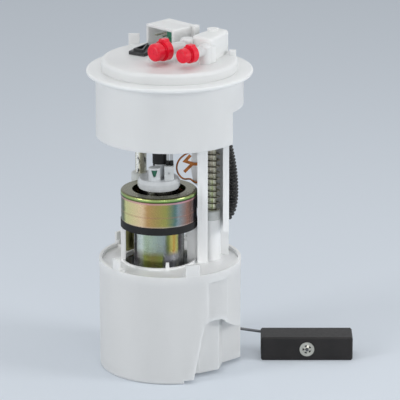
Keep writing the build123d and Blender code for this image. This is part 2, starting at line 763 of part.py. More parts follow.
# ---------------------------------------------------------------- pump
can_in = can_r - can_wall
neck_in = can_neck_r - can_wall
can_outer = turned(((0, can_bottom), (can_r, can_bottom), (can_r, can_shoulder), (can_neck_r, can_neck_z),
                    (can_neck_r, can_top), (0, can_top)), pump_at)
shoulder_edges = ring_edges(can_outer, can_shoulder, can_r) + ring_edges(can_outer, can_neck_z, can_neck_r)
can_outer = fillet(shoulder_edges, can_round)
can_inner = turned(((0, can_bottom), (can_in, can_bottom), (can_in, can_shoulder - shoulder_in),
                    (neck_in, can_neck_z - shoulder_in), (neck_in, can_top), (0, can_top)), pump_at)
keep("pump_can", can_outer - can_inner)

end_cap = turned(((0, cap_under), (cap_rim_r, cap_under), (cap_rim_r, cap_top - cap_rim_slope),
                  (cap_rim_top_r, cap_top), (0, cap_top)), pump_at)
end_cap += bar(neck_in, can_neck_z, cap_under, pump_at)
end_cap += tube(can_neck_r, neck_in - cap_ring, can_top, cap_under, pump_at)
bearing_z = can_neck_z - bearing_drop
end_cap += bar(bearing_r + bearing_wall, bearing_z, can_neck_z, pump_at)
end_cap += bar(outlet_r, cap_top, outlet_top, outlet_at)
end_cap = chamfer(ring_edges(end_cap, outlet_top, outlet_r), nozzle_edge)
end_cap += bar(relief_r, cap_top, relief_top, relief_at)
end_cap = fillet(ring_edges(end_cap, relief_top, relief_r), relief_roof * 0.7)
end_cap -= bar(outlet_bore_r, valve_z, outlet_top, outlet_at)
end_cap -= bar(outlet_seat_r, can_neck_z + outlet_floor + bearing_h, valve_z, outlet_at)
plug_high = relief_top - relief_roof
plug_low = plug_high - relief_depth
end_cap -= bar(relief_bore_r, plug_low, plug_high, relief_at)
window_x = (relief_at[0] - window_top_w / 2, relief_at[0] + window_top_w / 2)
window_low = plug_high - window_h
window = ((window_x[0], plug_high), (window_x[1], plug_high),
          (relief_at[0] + window_low_w / 2, window_low), (relief_at[0] - window_low_w / 2, window_low))
end_cap -= front_plate(window, relief_at[1], relief_at[1] - far)
end_cap -= bar(bearing_r, bearing_z, bearing_z + bearing_h, pump_at)
holder_x = (commutator_r + 2 * running_gap, commutator_r + holder_depth)
holder_end = neck_in - slip_gap * 2
for side in (-1, 1):
    holder = sorted((pump_x + side * holder_x[0], pump_x + side * holder_end))
    end_cap += block(holder, (-holder_w / 2, holder_w / 2), (commutator_z[0] + holder_rise, can_neck_z))
brush_z = (commutator_z[0] + brush_w / 2, commutator_z[1] - brush_w / 2)
brush_set = []
brush_spring_set = []
brush_y = (-brush_w / 2, brush_w / 2)
brush_coil = Circle(brush_spring_r[0]) - Circle(brush_spring_r[1])
for side in (-1, 1):
    channel = sorted((pump_x + side * holder_x[0], pump_x + side * (holder_x[1] + brush_spring_len)))
    end_cap -= block(channel, brush_y, brush_z)
    brush_x = sorted((pump_x + side * (commutator_r + running_gap), pump_x + side * holder_x[1]))
    brush_set.append(block(brush_x, brush_y, brush_z))
    start = pump_x + side * holder_x[1]
    stack = Plane(origin=(start, 0, (brush_z[0] + brush_z[1]) / 2), z_dir=(side, 0, 0))
    brush_spring_set.append(extrude(stack * brush_coil, brush_spring_len))
keep("brushes", Compound(children=brush_set))
keep("brush_springs", Compound(children=brush_spring_set))

plug_x = (plug_at[0] - plug_size[0] / 2, plug_at[0] + plug_size[0] / 2)
plug_y = (plug_at[1] - plug_size[1] / 2, plug_at[1] + plug_size[1] / 2)
plug_z = (cap_top, cap_top + plug_size[2])
lead_x = [plug_at[0] + x for x in plug_lead_x]
plug = block(plug_x, plug_y, plug_z)
plug = fillet(plug.edges().filter_by(Axis.Z), plug_edge[0])
plug = chamfer(plug.faces().sort_by(Axis.Z)[-1].edges(), plug_edge[1])
plug -= block((plug_at[0] - plug_window[0] / 2, plug_at[0] + plug_window[0] / 2),
              (plug_y[0], plug_y[0] + plug_window[1] / 2),
              (plug_z[1] - plug_window[2] - plug_window[1], plug_z[1] - plug_window[2]))
pin_z = (cap_top - pin_size[2], plug_z[1] - plug_hood)
pin_y = (plug_at[1] - pin_size[1] / 2, plug_at[1] + pin_size[1] / 2)
pins = [block((x - pin_size[0] / 2, x + pin_size[0] / 2), pin_y, pin_z) for x in lead_x]
for pin in pins:
    plug -= pin
    end_cap -= pin
for x in lead_x:
    plug -= bar(lead_r, pin_z[1], plug_z[1], (x, plug_at[1]))
keep("pump_end_cap", end_cap)
keep("pump_plug", plug)
keep("pump_pins", Compound(children=pins))
keep("relief_plug", bar(relief_bore_r, plug_low, plug_high, relief_at))

# Check valve in the outlet: poppet, spring and the cage that holds the spring
cage_z = outlet_top - cage_drop
valve_skirt = valve_z + valve_len
valve_r = outlet_bore_r - running_gap
poppet = turned(((0, valve_z - valve_nose), (valve_nose, valve_z - valve_nose),
                 (outlet_seat_r - running_gap, valve_z + slip_gap), (valve_r, valve_z + slip_gap),
                 (valve_r, valve_skirt), (0, valve_skirt)), outlet_at)
keep("check_valve", poppet)
keep("check_valve_cage", tube(outlet_bore_r, outlet_seat_r, cage_z, cage_z + cage_h, outlet_at))
turn_path = Helix(valve_spring_pitch, cage_z - valve_skirt - 2 * valve_wire_r, valve_r - 2 * valve_wire_r,
                  center=(*outlet_at, valve_skirt + valve_wire_r))
turn_start = Plane(origin=turn_path @ 0, z_dir=turn_path % 0)
valve_spring = sweep(turn_start * RegularPolygon(valve_wire_r, 5), path=turn_path, is_frenet=True)
keep("check_valve_spring", valve_spring)

# Motor: shaft, armature with its slots, commutator, magnets and bearings
impeller_low = impeller_top - impeller_t
chamber_low = impeller_top + running_gap
chamber_high = chamber_low + chamber_t
shaft_low = impeller_low - shaft_foot
shaft_high = bearing_z + bearing_h - shaft_head
keep("motor_shaft", bar(shaft_r, shaft_low, shaft_high, pump_at))

armature = bar(rotor_r, rotor_z[0], rotor_z[1], pump_at)
armature += bar(rotor_r - winding_in, rotor_z[0] - winding_h, rotor_z[1] + winding_h, pump_at)
slot = Box(rotor_slot[0], rotor_slot[1], rotor_z[1] - rotor_z[0], align=OUTER)
slot = Pos(rotor_r + free_gap, 0, 0) * slot
for i in range(rotor_slots):
    armature -= Pos(pump_x, 0, rotor_z[0]) * Rot(0, 0, 360 * i / rotor_slots) * slot
armature -= bar(shaft_r, 2 * pot_bottom, 0, pump_at)
keep("armature", armature)
commutator = tube(commutator_r, shaft_r, commutator_z[0], commutator_z[1], pump_at)
nick = Pos(commutator_r, 0, 0) * Box(*commutator_nick, align=OUTER)
nick_z = commutator_z[1] - commutator_nick[2]
for i in range(rotor_slots):
    commutator -= Pos(pump_x, 0, nick_z) * Rot(0, 0, 360 * (i + 0.5) / rotor_slots) * nick
keep("commutator", commutator)

magnet_ring = tube(can_in, can_in - magnet_t, rotor_z[0] - magnet_over, rotor_z[1] + magnet_over, pump_at)
slot_wall = Pos(pump_x, 0, 0) * Box(magnet_gap, far, 2 * far)
keep("magnets", Compound(children=(magnet_ring - slot_wall).solids()))
bearing_set = []
for z in (bearing_z, chamber_low):
    bearing_set.append(tube(bearing_r, shaft_r + running_gap, z, z + bearing_h, pump_at))
keep("shaft_bearings", Compound(children=bearing_set))

# Pumping chamber: plate, impeller with its vanes, inlet cover with the suction pipe
chamber = tube(can_in, bearing_r, chamber_low, chamber_high, pump_at)
chamber -= bar(chamber_port_r, chamber_low, chamber_high, (pump_x, chamber_port_y))
keep("chamber_plate", chamber)
impeller = tube(impeller_r, shaft_r, impeller_low, impeller_top, pump_at)
vane_gap = Pos(impeller_r - vane_rim, 0, 0) * Box(vane_size[0], vane_size[1], impeller_t, align=OUTER)
for i in range(vanes):
    impeller -= Pos(pump_x, 0, impeller_low) * Rot(0, 0, 360 * i / vanes) * vane_gap
keep("impeller", impeller)
inlet_at_y = (pump_x, inlet_pipe_y)
floor_z = impeller_low - running_gap
pipe_low = can_bottom - inlet_pipe_len
inlet_cover = bar(can_in, can_bottom, chamber_low, pump_at)
inlet_cover -= bar(impeller_r + free_gap, floor_z, chamber_low, pump_at)
inlet_cover -= bar(shaft_r + free_gap, shaft_low - free_gap, floor_z, pump_at)
inlet_cover += bar(inlet_pipe_r, pipe_low, can_bottom, inlet_at_y)
inlet_cover -= bar(inlet_pipe_r - inlet_pipe_wall, pipe_low, floor_z, inlet_at_y)
keep("pump_inlet_cover", inlet_cover)
keep("pump_cushion", tube(cushion_seat_r, can_r, can_bottom, cushion_high, pump_at))

strainer = turned(((0, strainer_z[0] + strainer_edge / 2), (strainer_r - strainer_edge, strainer_z[0]),
                   (strainer_r, strainer_z[0] + strainer_edge), (strainer_r, strainer_z[1] - strainer_edge),
                   (strainer_r - strainer_edge, strainer_z[1]), (0, strainer_z[1])), pump_at)
strainer += bar(inlet_pipe_r + strainer_neck, strainer_z[1] - cut, pipe_low + inlet_pipe_len / 2, inlet_at_y)
strainer -= bar(inlet_pipe_r, pipe_low, can_bottom, inlet_at_y)
strainer -= bar(inlet_pipe_r - inlet_pipe_wall, strainer_z[0] + 1.5 * strainer_edge, can_bottom, inlet_at_y)
keep("suction_strainer", strainer)

# ---------------------------------------------------------------- regulator, jet pump, foot valve
neck_low = cover_under - regulator_neck
waist_r = regulator_r - regulator_waist
lid_edge_r = regulator_r - regulator_lid
regulator = turned(((0, cover_z), (waist_r, cover_z), (waist_r, crimp_z[0]), (regulator_r, crimp_z[0]),
                    (regulator_r, crimp_z[1]), (lid_edge_r, crimp_z[1] + regulator_edge),
                    (lid_edge_r, regulator_top - regulator_edge),
                    (lid_edge_r - regulator_edge, regulator_top), (0, regulator_top)), regulator_at)
regulator += bar(regulator_neck_r, neck_low, cover_z, regulator_at)
regulator -= bar(jet_line_r, neck_low, neck_low + jet_plug_len, regulator_at)
keep("pressure_regulator", regulator)

jet_bar_z = left_floor + jet_rise
riser_top = jet_bar_z + riser_h
jet_back = jet_at[1] + jet_r
jet_front = jet_back - jet_len
line_in_r = jet_line_r - jet_line_wall
jet = cross_bar(jet_r, (jet_at[0], jet_bar_z), (jet_front, jet_back))
jet += bar(jet_line_r + riser_wall, jet_bar_z, riser_top, jet_at)
foot_x = (jet_at[0] - riser_wall, jet_at[0] + riser_wall)
jet += block(foot_x, (jet_front + riser_wall, jet_back - riser_wall), (left_floor, jet_bar_z))
riser_y = jet_at[1] - jet_r
jet -= cross_bar(jet_r - throat_wall, (jet_at[0], jet_bar_z), (jet_front, riser_y - throat_start))
jet -= cross_bar(nozzle_r, (jet_at[0], jet_bar_z), (riser_y - nozzle_start, jet_at[1]))
jet -= bar(line_in_r, jet_bar_z, riser_top, jet_at)
jet -= bar(jet_line_r, riser_top - jet_plug_len, riser_top, jet_at)
keep("jet_pump", jet)
jet_route = ((*regulator_at, neck_low + jet_plug_len), (*regulator_at, neck_low - jet_drop[0]),
             (*jet_at, riser_top + jet_drop[1]), (*jet_at, riser_top - jet_plug_len))
keep("jet_line", bent(jet_route, jet_line_r, line_in_r))
flap = bar(foot_valve_stem_r, pot_bottom, left_floor)
flap += bar(foot_valve_r, left_floor, left_floor + foot_valve_t)
keep("foot_valve", valve_place * flap)

# ---------------------------------------------------------------- hoses, leads and straps
loop_bend = (inlet_at[1] - outlet_at[1]) / 2 - loop_slack
outlet_route = ((*outlet_at, cap_top + hose_start), (*outlet_at, loop_z), (*inlet_at, loop_z),
                (*inlet_at, filter_top + hose_sink))
keep("outlet_hose", bent(outlet_route, hose_r, outlet_r, [loop_bend, loop_bend]))
corrugated_route = ((port_tip, port_y, port_z), (hose_turn[0][0], port_y, port_z),
                    *((x, port_y, z) for x, z in hose_turn[1:]), (*hose_top, hose_turn_top),
                    (*hose_top, -rod_boss_drop))
keep("corrugated_hose", bent(corrugated_route, corrugated_r, nipple_bore_r))


def blade_spot(i):
    """Where the leg of a blade ends under the flange."""
    spot = PORTS * Pos(blade_root + blade_t / 2, blade_y[i], blade_foot)
    return (spot.position.X, spot.position.Y)


lead_set = []
for i, x in enumerate(lead_x):
    foot = blade_spot(i)
    route = ((x, plug_at[1], pin_z[1]), (x, plug_at[1], lead_turn[0]),
             (x + lead_turn[3], lead_turn[2], lead_turn[1]), (*foot, lead_drop), (*foot, blade_foot))
    lead_set.append(bent(route, lead_r))
keep("pump_leads", Compound(children=lead_set))

bracket_y = (pocket_y, pocket_y + sender_t)
sender_set = []
for i, aside in ((2, 0.0), (3, sender_lead_gap)):
    foot = blade_spot(i)
    beside = Rot(0, 0, sender_lead_deg) * Pos(pot_r + sender_lead_out, -aside, 0)
    beside = (beside.position.X, beside.position.Y)
    above = (beside[0] - sender_lead_in[0], beside[1] - sender_lead_in[1])
    end_x = sender_lead_x + aside
    route = ((*foot, blade_foot), (*foot, lead_drop), (*above, sender_lead_z[0]), (*beside, sender_lead_z[1]),
             (*beside, sender_lead_z[2]), (end_x, (beside[1] + bracket_y[1]) / 2, sender_lead_z[3]),
             (end_x, bracket_y[1], sender_lead_z[3]))
    sender_set.append(bent(route, thin_lead_r))
keep("sender_leads", Compound(children=sender_set))

strap_line = Polyline(*strap_points)
strap_face = Plane(origin=(0, fin_y[0], 0), x_dir=(1, 0, 0), z_dir=(0, -1, 0)) * trace(strap_line, strap_w)
strap = extrude(strap_face, strap_t)
tail_z = (strap_tail_z - strap_w / 2, strap_tail_z + strap_w / 2)
strap += block((strap_points[2][0] - strap_tail_x, column_x[0]), (fin_y[0] - strap_t, fin_y[0]), tail_z)
keep("earth_strap", strap)
wire_y = fin_y[0] - strap_t - copper_lead_r - free_gap
keep("copper_lead", bent([(x, wire_y, z) for x, z in copper_lead_points], copper_lead_r))

# ---------------------------------------------------------------- level sender and float
bracket = block(bracket_x, bracket_y, bracket_z)
bracket = fillet(bracket.edges().filter_by(Axis.Y), bracket_round)
hub_y = (bracket_y[1] + card_t + free_gap, bracket_y[1] + card_t + free_gap + hub_t)
pin_end = hub_y[1] + free_gap + pin_head_t
bracket += cross_bar(pin_r, pivot, (bracket_y[1], pin_end))
bracket += cross_bar(pin_r + pin_head_r, pivot, (pin_end - pin_head_t, pin_end))
stop_y = (bracket_y[1], pin_end - arm_stop_in)
bracket += block(arm_stop_x, stop_y, (bracket_z[0], bracket_z[0] + arm_stop_h))
keep("sender_bracket", bracket)
keep("sender_card", block(card_x, (bracket_y[1], bracket_y[1] + card_t), card_z))

arm_y = (hub_y[0] + hub_y[1]) / 2
float_front = float_at[1] - float_size[1] / 2
arm_route = (*((x, arm_y, z) for x, z in arm_points), (float_at[0], arm_y, float_at[2]),
             (float_at[0], float_front - arm_out, float_at[2]))
arm_wire = bent(arm_route, wire_r, 0.0, arm_bends)
hub = cross_bar(hub_r, pivot, hub_y) - cross_bar(pin_r + running_gap, pivot, hub_y)
hub -= arm_wire
keep("float_arm", arm_wire)
keep("arm_hub", hub)

wiper = Box(*wiper_size, align=(Align.MIN, Align.MIN, Align.CENTER))
wiper = Pos(pivot[0], hub_y[0], pivot[1]) * Rot(0, wiper_deg, 0) * Pos(hub_r, 0, 0) * wiper
keep("wiper", wiper)

body = Pos(*float_at) * Box(*float_size)
body = chamfer(body.edges(), float_edge)
body -= cross_bar(wire_r + running_gap, (float_at[0], float_at[2]), (-far, far))
keep("float", body)
clip_y = (float_front - slip_gap - float_clip_t, float_front - slip_gap)
disc = cross_bar(float_clip_r, (float_at[0], float_at[2]), clip_y) - arm_wire
keep("float_clip", disc)
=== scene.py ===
"""Looks of the fuel pump module: finishes, hoses, leads, spring and float, laid over the CAD frame."""

import math
from typing import NamedTuple

import bmesh
import bpy
from bpy.props import FloatProperty, FloatVectorProperty, IntProperty, PointerProperty
from mathutils import Matrix, Vector


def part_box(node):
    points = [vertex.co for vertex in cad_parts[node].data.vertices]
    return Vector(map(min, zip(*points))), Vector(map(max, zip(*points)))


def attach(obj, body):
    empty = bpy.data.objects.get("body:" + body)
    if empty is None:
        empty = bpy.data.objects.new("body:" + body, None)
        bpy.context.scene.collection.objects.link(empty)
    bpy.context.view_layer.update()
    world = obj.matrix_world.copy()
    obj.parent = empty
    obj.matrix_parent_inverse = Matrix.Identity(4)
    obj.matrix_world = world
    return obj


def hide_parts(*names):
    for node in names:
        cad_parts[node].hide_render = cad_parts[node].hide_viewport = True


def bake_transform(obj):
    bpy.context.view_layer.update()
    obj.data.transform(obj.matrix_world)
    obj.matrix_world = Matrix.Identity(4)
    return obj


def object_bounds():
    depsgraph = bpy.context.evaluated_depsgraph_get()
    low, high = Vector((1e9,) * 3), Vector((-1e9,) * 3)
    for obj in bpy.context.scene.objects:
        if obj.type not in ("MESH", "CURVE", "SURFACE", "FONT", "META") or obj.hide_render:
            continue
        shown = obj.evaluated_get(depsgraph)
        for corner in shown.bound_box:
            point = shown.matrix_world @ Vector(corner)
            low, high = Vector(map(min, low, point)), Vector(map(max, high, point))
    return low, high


bl_info = {
    "name": "Fuel Pump Module",
    "version": (1, 0, 0),
    "blender": (4, 5, 0),
    "location": "View3D > Sidebar > Fuel Pump",
    "description": "Builds the visible pieces and finishes of an in-tank fuel pump module",
    "category": "Object",
}

MM = 0.001
# Angles in degrees: an edge whose faces differ by more stays sharp.
SHEET_EDGE = 30.0
RUBBER_EDGE = 40.0
TUBE_EDGE = 60.0
# Sockets of a Mix node that is set to colours.
MIX_UNDER, MIX_OVER, MIX_RESULT = 6, 7, 2

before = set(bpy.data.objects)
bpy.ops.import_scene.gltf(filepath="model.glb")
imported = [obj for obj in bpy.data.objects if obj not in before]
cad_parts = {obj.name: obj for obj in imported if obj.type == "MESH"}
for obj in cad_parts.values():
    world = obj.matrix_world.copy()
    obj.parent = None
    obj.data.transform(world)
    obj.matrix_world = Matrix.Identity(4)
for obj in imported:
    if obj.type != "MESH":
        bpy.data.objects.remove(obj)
cad_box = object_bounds()


def node_axis(node):
    """Middle of a node in x and y."""
    low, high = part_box(node)
    return (low[0] + high[0]) / 2, (low[1] + high[1]) / 2


PUMP_AXIS = node_axis("pump_can")
RIGHT_ROD = node_axis("guide_rod_right")
LEFT_ROD = node_axis("guide_rod_left")


# ---------------------------------------------------------------- small helpers
def linear(code):
    """sRGB hex colour as linear RGBA."""
    parts = [int(code[i:i + 2], 16) / 255 for i in (1, 3, 5)]
    return tuple(c / 12.92 if c <= 0.04045 else ((c + 0.055) / 1.055) ** 2.4 for c in parts) + (1.0,)


def colour_prop(name, description, code):
    """Colour that a user may change, from its hex code."""
    return FloatVectorProperty(name=name, description=description, default=linear(code), size=4,
                               min=0.0, max=1.0, subtype="COLOR")


def size_prop(name, description, millimetres):
    """Length that a user may change, from its size in millimetres."""
    return FloatProperty(name=name, description=description, default=millimetres * MM,
                         min=0.0, max=1.0, unit="LENGTH", precision=5)


def add(tree, kind, inputs=None, stops=(), **settings):
    """Adds a node with its settings; an input takes a plain value, a socket, or a node for its first output.

    A colour ramp also takes its stops, as (place, colour); a colour's alpha may mark a mask.
    """
    made = tree.nodes.new(kind)
    for key, value in settings.items():
        setattr(made, key, value)
    for socket, given in (inputs or {}).items():
        if isinstance(given, bpy.types.Node):
            given = given.outputs[0]
        if isinstance(given, bpy.types.NodeSocket):
            tree.links.new(given, made.inputs[socket])
        else:
            made.inputs[socket].default_value = given
    if stops:
        points = made.color_ramp.elements
        while len(points) < len(stops):
            points.new(0.5)
        for point, (place, colour) in zip(points, stops):
            point.position = place
            point.color = colour
    return made


def blank(name, colour, roughness, **values):
    """Makes a material with one Principled shader, and sets plain values on the shader's own sockets."""
    material = bpy.data.materials.new(name)
    material.use_nodes = True
    tree = material.node_tree
    shader = tree.nodes["Principled BSDF"]
    shader.inputs["Base Color"].default_value = colour
    shader.inputs["Roughness"].default_value = roughness
    for socket, value in values.items():
        shader.inputs[socket.replace("_", " ")].default_value = value
    return tree, shader


def noise(tree, grain, detail=2.0, stretch=(1, 1, 1), roughness=0.5):
    """Noise on object coordinates whose features are about grain metres wide."""
    place = add(tree, "ShaderNodeTexCoord")
    fitted = add(tree, "ShaderNodeMapping", {"Scale": stretch, "Vector": place.outputs["Object"]})
    return add(tree, "ShaderNodeTexNoise",
               {"Scale": 1.0 / grain, "Detail": detail, "Roughness": roughness, "Vector": fitted})


def tint(tree, shader, source, dark, light, low=0.35, high=0.65):
    """Base colour that wanders between two colours."""
    spread = add(tree, "ShaderNodeValToRGB", {"Fac": source}, stops=((low, dark), (high, light)))
    tree.links.new(spread.outputs["Color"], shader.inputs["Base Color"])


def rough_span(tree, shader, source, low, high):
    """Roughness that wanders between two values."""
    spread = add(tree, "ShaderNodeMapRange", {"To Min": low, "To Max": high, "Value": source})
    tree.links.new(spread.outputs["Result"], shader.inputs["Roughness"])


def relief(tree, shader, source, depth, strength):
    """Relief of a given depth in metres."""
    made = add(tree, "ShaderNodeBump", {"Distance": depth, "Strength": strength, "Height": source})
    tree.links.new(made.outputs["Normal"], shader.inputs["Normal"])


def round_axis(tree, axis):
    """Turn round an upright axis, 0.5 at the front and rising to the right, and the height."""
    place = add(tree, "ShaderNodeTexCoord")
    centred = add(tree, "ShaderNodeMapping",
                  {"Location": (-axis[0], -axis[1], 0), "Vector": place.outputs["Object"]})
    parts = add(tree, "ShaderNodeSeparateXYZ", {"Vector": centred})
    front = add(tree, "ShaderNodeMath", {0: parts.outputs["Y"], 1: -1.0}, operation="MULTIPLY")
    turn = add(tree, "ShaderNodeMath", {0: parts.outputs["X"], 1: front}, operation="ARCTAN2")
    around = add(tree, "ShaderNodeMapRange", {"From Min": -math.pi, "From Max": math.pi, "Value": turn})
    return around, parts.outputs["Z"]


def wavered(tree, value, source, amount):
    """A value pushed to and fro by a pattern."""
    push = add(tree, "ShaderNodeMapRange", {"To Min": -amount, "To Max": amount, "Value": source})
    return add(tree, "ShaderNodeMath", {0: value, 1: push}, operation="ADD")


def layered(tree, shader, ground, *layers):
    """Base colour of a ground with other colours laid over it in turn, each by its share."""
    for colour, share in layers:
        made = add(tree, "ShaderNodeMix", {"Factor": share, MIX_UNDER: ground, MIX_OVER: colour},
                   data_type="RGBA")
        ground = made.outputs[MIX_RESULT]
    tree.links.new(ground, shader.inputs["Base Color"])


def dimmed(colour, share):
    """A colour at a share of its brightness, opaque."""
    return (colour[0] * share, colour[1] * share, colour[2] * share, 1.0)


# ---------------------------------------------------------------- films of the passivated metals, with painted reflections, highlights and shade
# Places are turns round the axis: 0.25 left, 0.5 front, 0.75 right, 0 and 1 behind.
# Each ramp follows the part as seen from the front: its dark bands and dark edges are painted reflection and
# painted shade, and its palest stops are painted highlights, laid over the passivation colours.
FILTER_FILM_AND_REFLECTIONS = ((0.0, "#8E8A66"), (0.12, "#B9A871"), (0.27, "#4C5042"), (0.315, "#6F7A52"),
               (0.335, "#E9E6A4"), (0.43, "#EBCDA4"), (0.452, "#C29A66"), (0.53, "#A2A05A"),
               (0.572, "#5E7E78"), (0.584, "#8C9CA0"), (0.635, "#9A7262"), (0.69, "#4A4A50"),
               (0.74, "#3C3C40"), (0.85, "#A09A68"), (1.0, "#8E8A66"))
# Places are heights on the ring, from its foot to its top face, and the share that the band covers.
# The bands follow the ring as seen from the front: the dark line under the rolled top edge is painted shade
# and the pale band at the foot is a painted reflection, laid over the passivation colours.
FILTER_BANDS = ((0.0, "#E6CFC8", 0.5), (0.06, "#E6CFC8", 0.0), (0.3, "#B08070", 0.0),
                (0.34, "#B08070", 0.4), (0.38, "#B08070", 0.0), (0.77, "#DFA3A8", 0.0),
                (0.8, "#DFA3A8", 0.85), (0.835, "#D79DA8", 0.6), (0.85, "#2A2A20", 0.8),
                (0.872, "#33421F", 0.9), (0.89, "#6E9A4C", 0.9), (0.93, "#B4CE86", 0.9),
                (0.965, "#7E8A50", 0.9), (0.985, "#66644E", 1.0))
# The can's ramps follow it as seen from the front: dark edges and dark bands are painted reflection and
# painted shade, and near-white stops are painted highlights; the lower ramp is passivation colour with
# painted reflection.
CAN_FILM_AND_REFLECTIONS = ((0.0, "#B9BDA2"), (0.27, "#3A3B40"), (0.322, "#45464A"), (0.336, "#D4DED8"), (0.385, "#DCE6DE"),
            (0.41, "#B3C4AC"), (0.54, "#9AA6A6"), (0.557, "#79854E"), (0.585, "#C6BA6A"), (0.6, "#C4984E"),
            (0.63, "#B7BC74"), (0.645, "#5C5258"), (0.69, "#9A9C9E"), (1.0, "#B9BDA2"))
CAN_LOW_FILM_AND_REFLECTIONS = ((0.0, "#9C9F86"), (0.24, "#77747A"), (0.33, "#8A8488"), (0.375, "#A6AA9C"),
                (0.405, "#8C9450"), (0.46, "#8E8650"), (0.52, "#8A9450"), (0.54, "#85858E"),
                (1.0, "#9C9F86"))
# Neck under the end cap: painted shade with a painted highlight.
NECK_SHADE_AND_HIGHLIGHT = ((0.0, "#8A8A88"), (0.3, "#2C2C2E"), (0.4, "#464646"), (0.43, "#E8E8E4"), (0.475, "#6E6A66"),
             (0.56, "#8C8A84"), (0.6, "#4A4644"), (0.7, "#2E2C2C"), (1.0, "#8A8A88"))
# Rod ramps, as seen from the front: dark flanks are painted shade and reflection, near-white stops are
# painted highlights, and the greener lower ramp is a painted reflection. CHROME's dark bands are painted
# reflections.
ROD_UPPER = ((0.0, "#E2DBCB"), (0.27, "#C2BCA6"), (0.36, "#FBF7EC"), (0.55, "#BDB49C"), (0.585, "#FFFEEE"),
             (0.66, "#FFFDE6"), (0.7, "#B9B394"), (0.75, "#8B8670"), (1.0, "#E2DBCB"))
ROD_LOWER = ((0.0, "#DCE2BC"), (0.27, "#B6BB8C"), (0.43, "#FBFDEC"), (0.55, "#B0BA7C"), (0.585, "#FCFEE6"),
             (0.66, "#FCFCEA"), (0.7, "#B4B47A"), (0.75, "#868858"), (1.0, "#DCE2BC"))
CHROME = ((0.0, "#DADAD4"), (0.27, "#77756A"), (0.33, "#F1EFE2"), (0.4, "#FFFFFC"), (0.46, "#E4E0CC"),
          (0.5, "#A09C86"), (0.6, "#FFFCE8"), (0.75, "#4C4A42"), (1.0, "#DADAD4"))
# Dark blotches laid over the rods, partly staining and partly painted reflection; on the left rod, at nearly
# full share, they are painted reflections.
STAIN_AND_REFLECTION_DARK = "#1C1B18"
# Heights on the part between which one ramp gives way to the next.
ROD_DRIFT = {"From Min": -80 * MM, "From Max": -92 * MM}
FILTER_RING = {"From Min": -116.5 * MM, "From Max": -93 * MM}
CAN_LOW_DRIFT = {"From Min": -138 * MM, "From Max": -143 * MM}
CAN_NECK_SHADE_HEIGHTS = {"From Min": -112 * MM, "From Max": -108 * MM}


def film_stops(codes):
    """Stops of a ramp from (place, hex code) pairs; a third value is the share that it covers."""
    return [(stop[0], linear(stop[1])[:3] + (stop[2] if len(stop) > 2 else 1.0,)) for stop in codes]


# ---------------------------------------------------------------- materials
def natural_acetal(name, colour, milk, reach):
    """Natural acetal, injection moulded: milky, so light goes a little way in, with a faint greasy sheen."""
    tree, shader = blank(name, colour, roughness=0.36, IOR=1.48)
    shader.inputs["Subsurface Weight"].default_value = milk
    shader.inputs["Subsurface Radius"].default_value = (1.0, 1.0, 1.0)
    shader.inputs["Subsurface Scale"].default_value = reach
    flow = noise(tree, 40 * MM, detail=3.0, stretch=(1, 1, 0.35))
    tint(tree, shader, flow, dimmed(colour, 0.955), colour, low=0.3, high=0.7)
    rough_span(tree, shader, noise(tree, 9 * MM, detail=4.0), low=0.30, high=0.46)
    relief(tree, shader, noise(tree, 0.9 * MM, detail=3.0), depth=0.02 * MM, strength=0.5)


def plated_rod(name, axis, upper, lower, stain_and_reflection):
    """Ground steel, zinc plated and passivated: a mirror, with painted highlights, flanks of painted shade,
    and tan above with a greener painted reflection below.
    """
    tree, shader = blank(name, linear(upper[0][1]), roughness=0.16, Metallic=0.4)
    turn, height = round_axis(tree, axis)
    drift = add(tree, "ShaderNodeMapRange", {"Value": height, **ROD_DRIFT})
    drift = wavered(tree, drift, noise(tree, 5 * MM, detail=3.0), amount=0.4)
    # Colours by turn: painted highlights and painted shade; the lower ramp is a painted reflection.
    above, below = [add(tree, "ShaderNodeValToRGB", {"Fac": turn}, stops=film_stops(film_and_reflection))
                    for film_and_reflection in (upper, lower)]
    # Dark blotches: partly staining, partly painted reflection.
    blotches = add(tree, "ShaderNodeValToRGB", {"Fac": noise(tree, 2.6 * MM, detail=3.0, stretch=(1, 1, 0.5))},
                 stops=film_stops(((0.56, STAIN_AND_REFLECTION_DARK, 0.0), (0.64, STAIN_AND_REFLECTION_DARK, stain_and_reflection))))
    layered(tree, shader, above, (below, drift), (blotches, blotches.outputs["Alpha"]))
    rings = noise(tree, 0.5 * MM, stretch=(0.2, 0.2, 3.0))
    rough_span(tree, shader, rings, low=0.2, high=0.36)
    relief(tree, shader, rings, depth=0.006 * MM, strength=0.6)


def die_marks(tree, shader):
    """Scuffs and fine relief of wire that was drawn through a die."""
    rough_span(tree, shader, noise(tree, 1.2 * MM, detail=3.0), low=0.22, high=0.42)
    relief(tree, shader, noise(tree, 0.4 * MM), depth=0.01 * MM, strength=0.7)


def drawn_wire(colour):
    """Drawn spring steel: grey, duller than the rods, with lengthwise die marks and oil stains."""
    tree, shader = blank("drawn_spring_steel", colour, roughness=0.3, Metallic=1.0)
    tint(tree, shader, noise(tree, 5 * MM, detail=4.0), dimmed(colour, 0.6), colour, low=0.35, high=0.6)
    die_marks(tree, shader)


def painted_shade_coil(dark, light):
    """Wound spring steel: nearly black in front with painted shade, lighter behind and at the sides with
    painted light, as seen from the front.
    """
    tree, shader = blank("coil_steel_painted_shade", dark, roughness=0.3, Metallic=0.5)
    turn, _ = round_axis(tree, RIGHT_ROD)
    # Painted shade on the turns in front, painted light on the turns at the sides and behind.
    spread = add(tree, "ShaderNodeValToRGB", {"Fac": wavered(tree, turn, noise(tree, 4 * MM), amount=0.03)},
                 stops=((0.3, light), (0.4, dark), (0.6, dark), (0.64, light)))
    tree.links.new(spread.outputs["Color"], shader.inputs["Base Color"])
    die_marks(tree, shader)


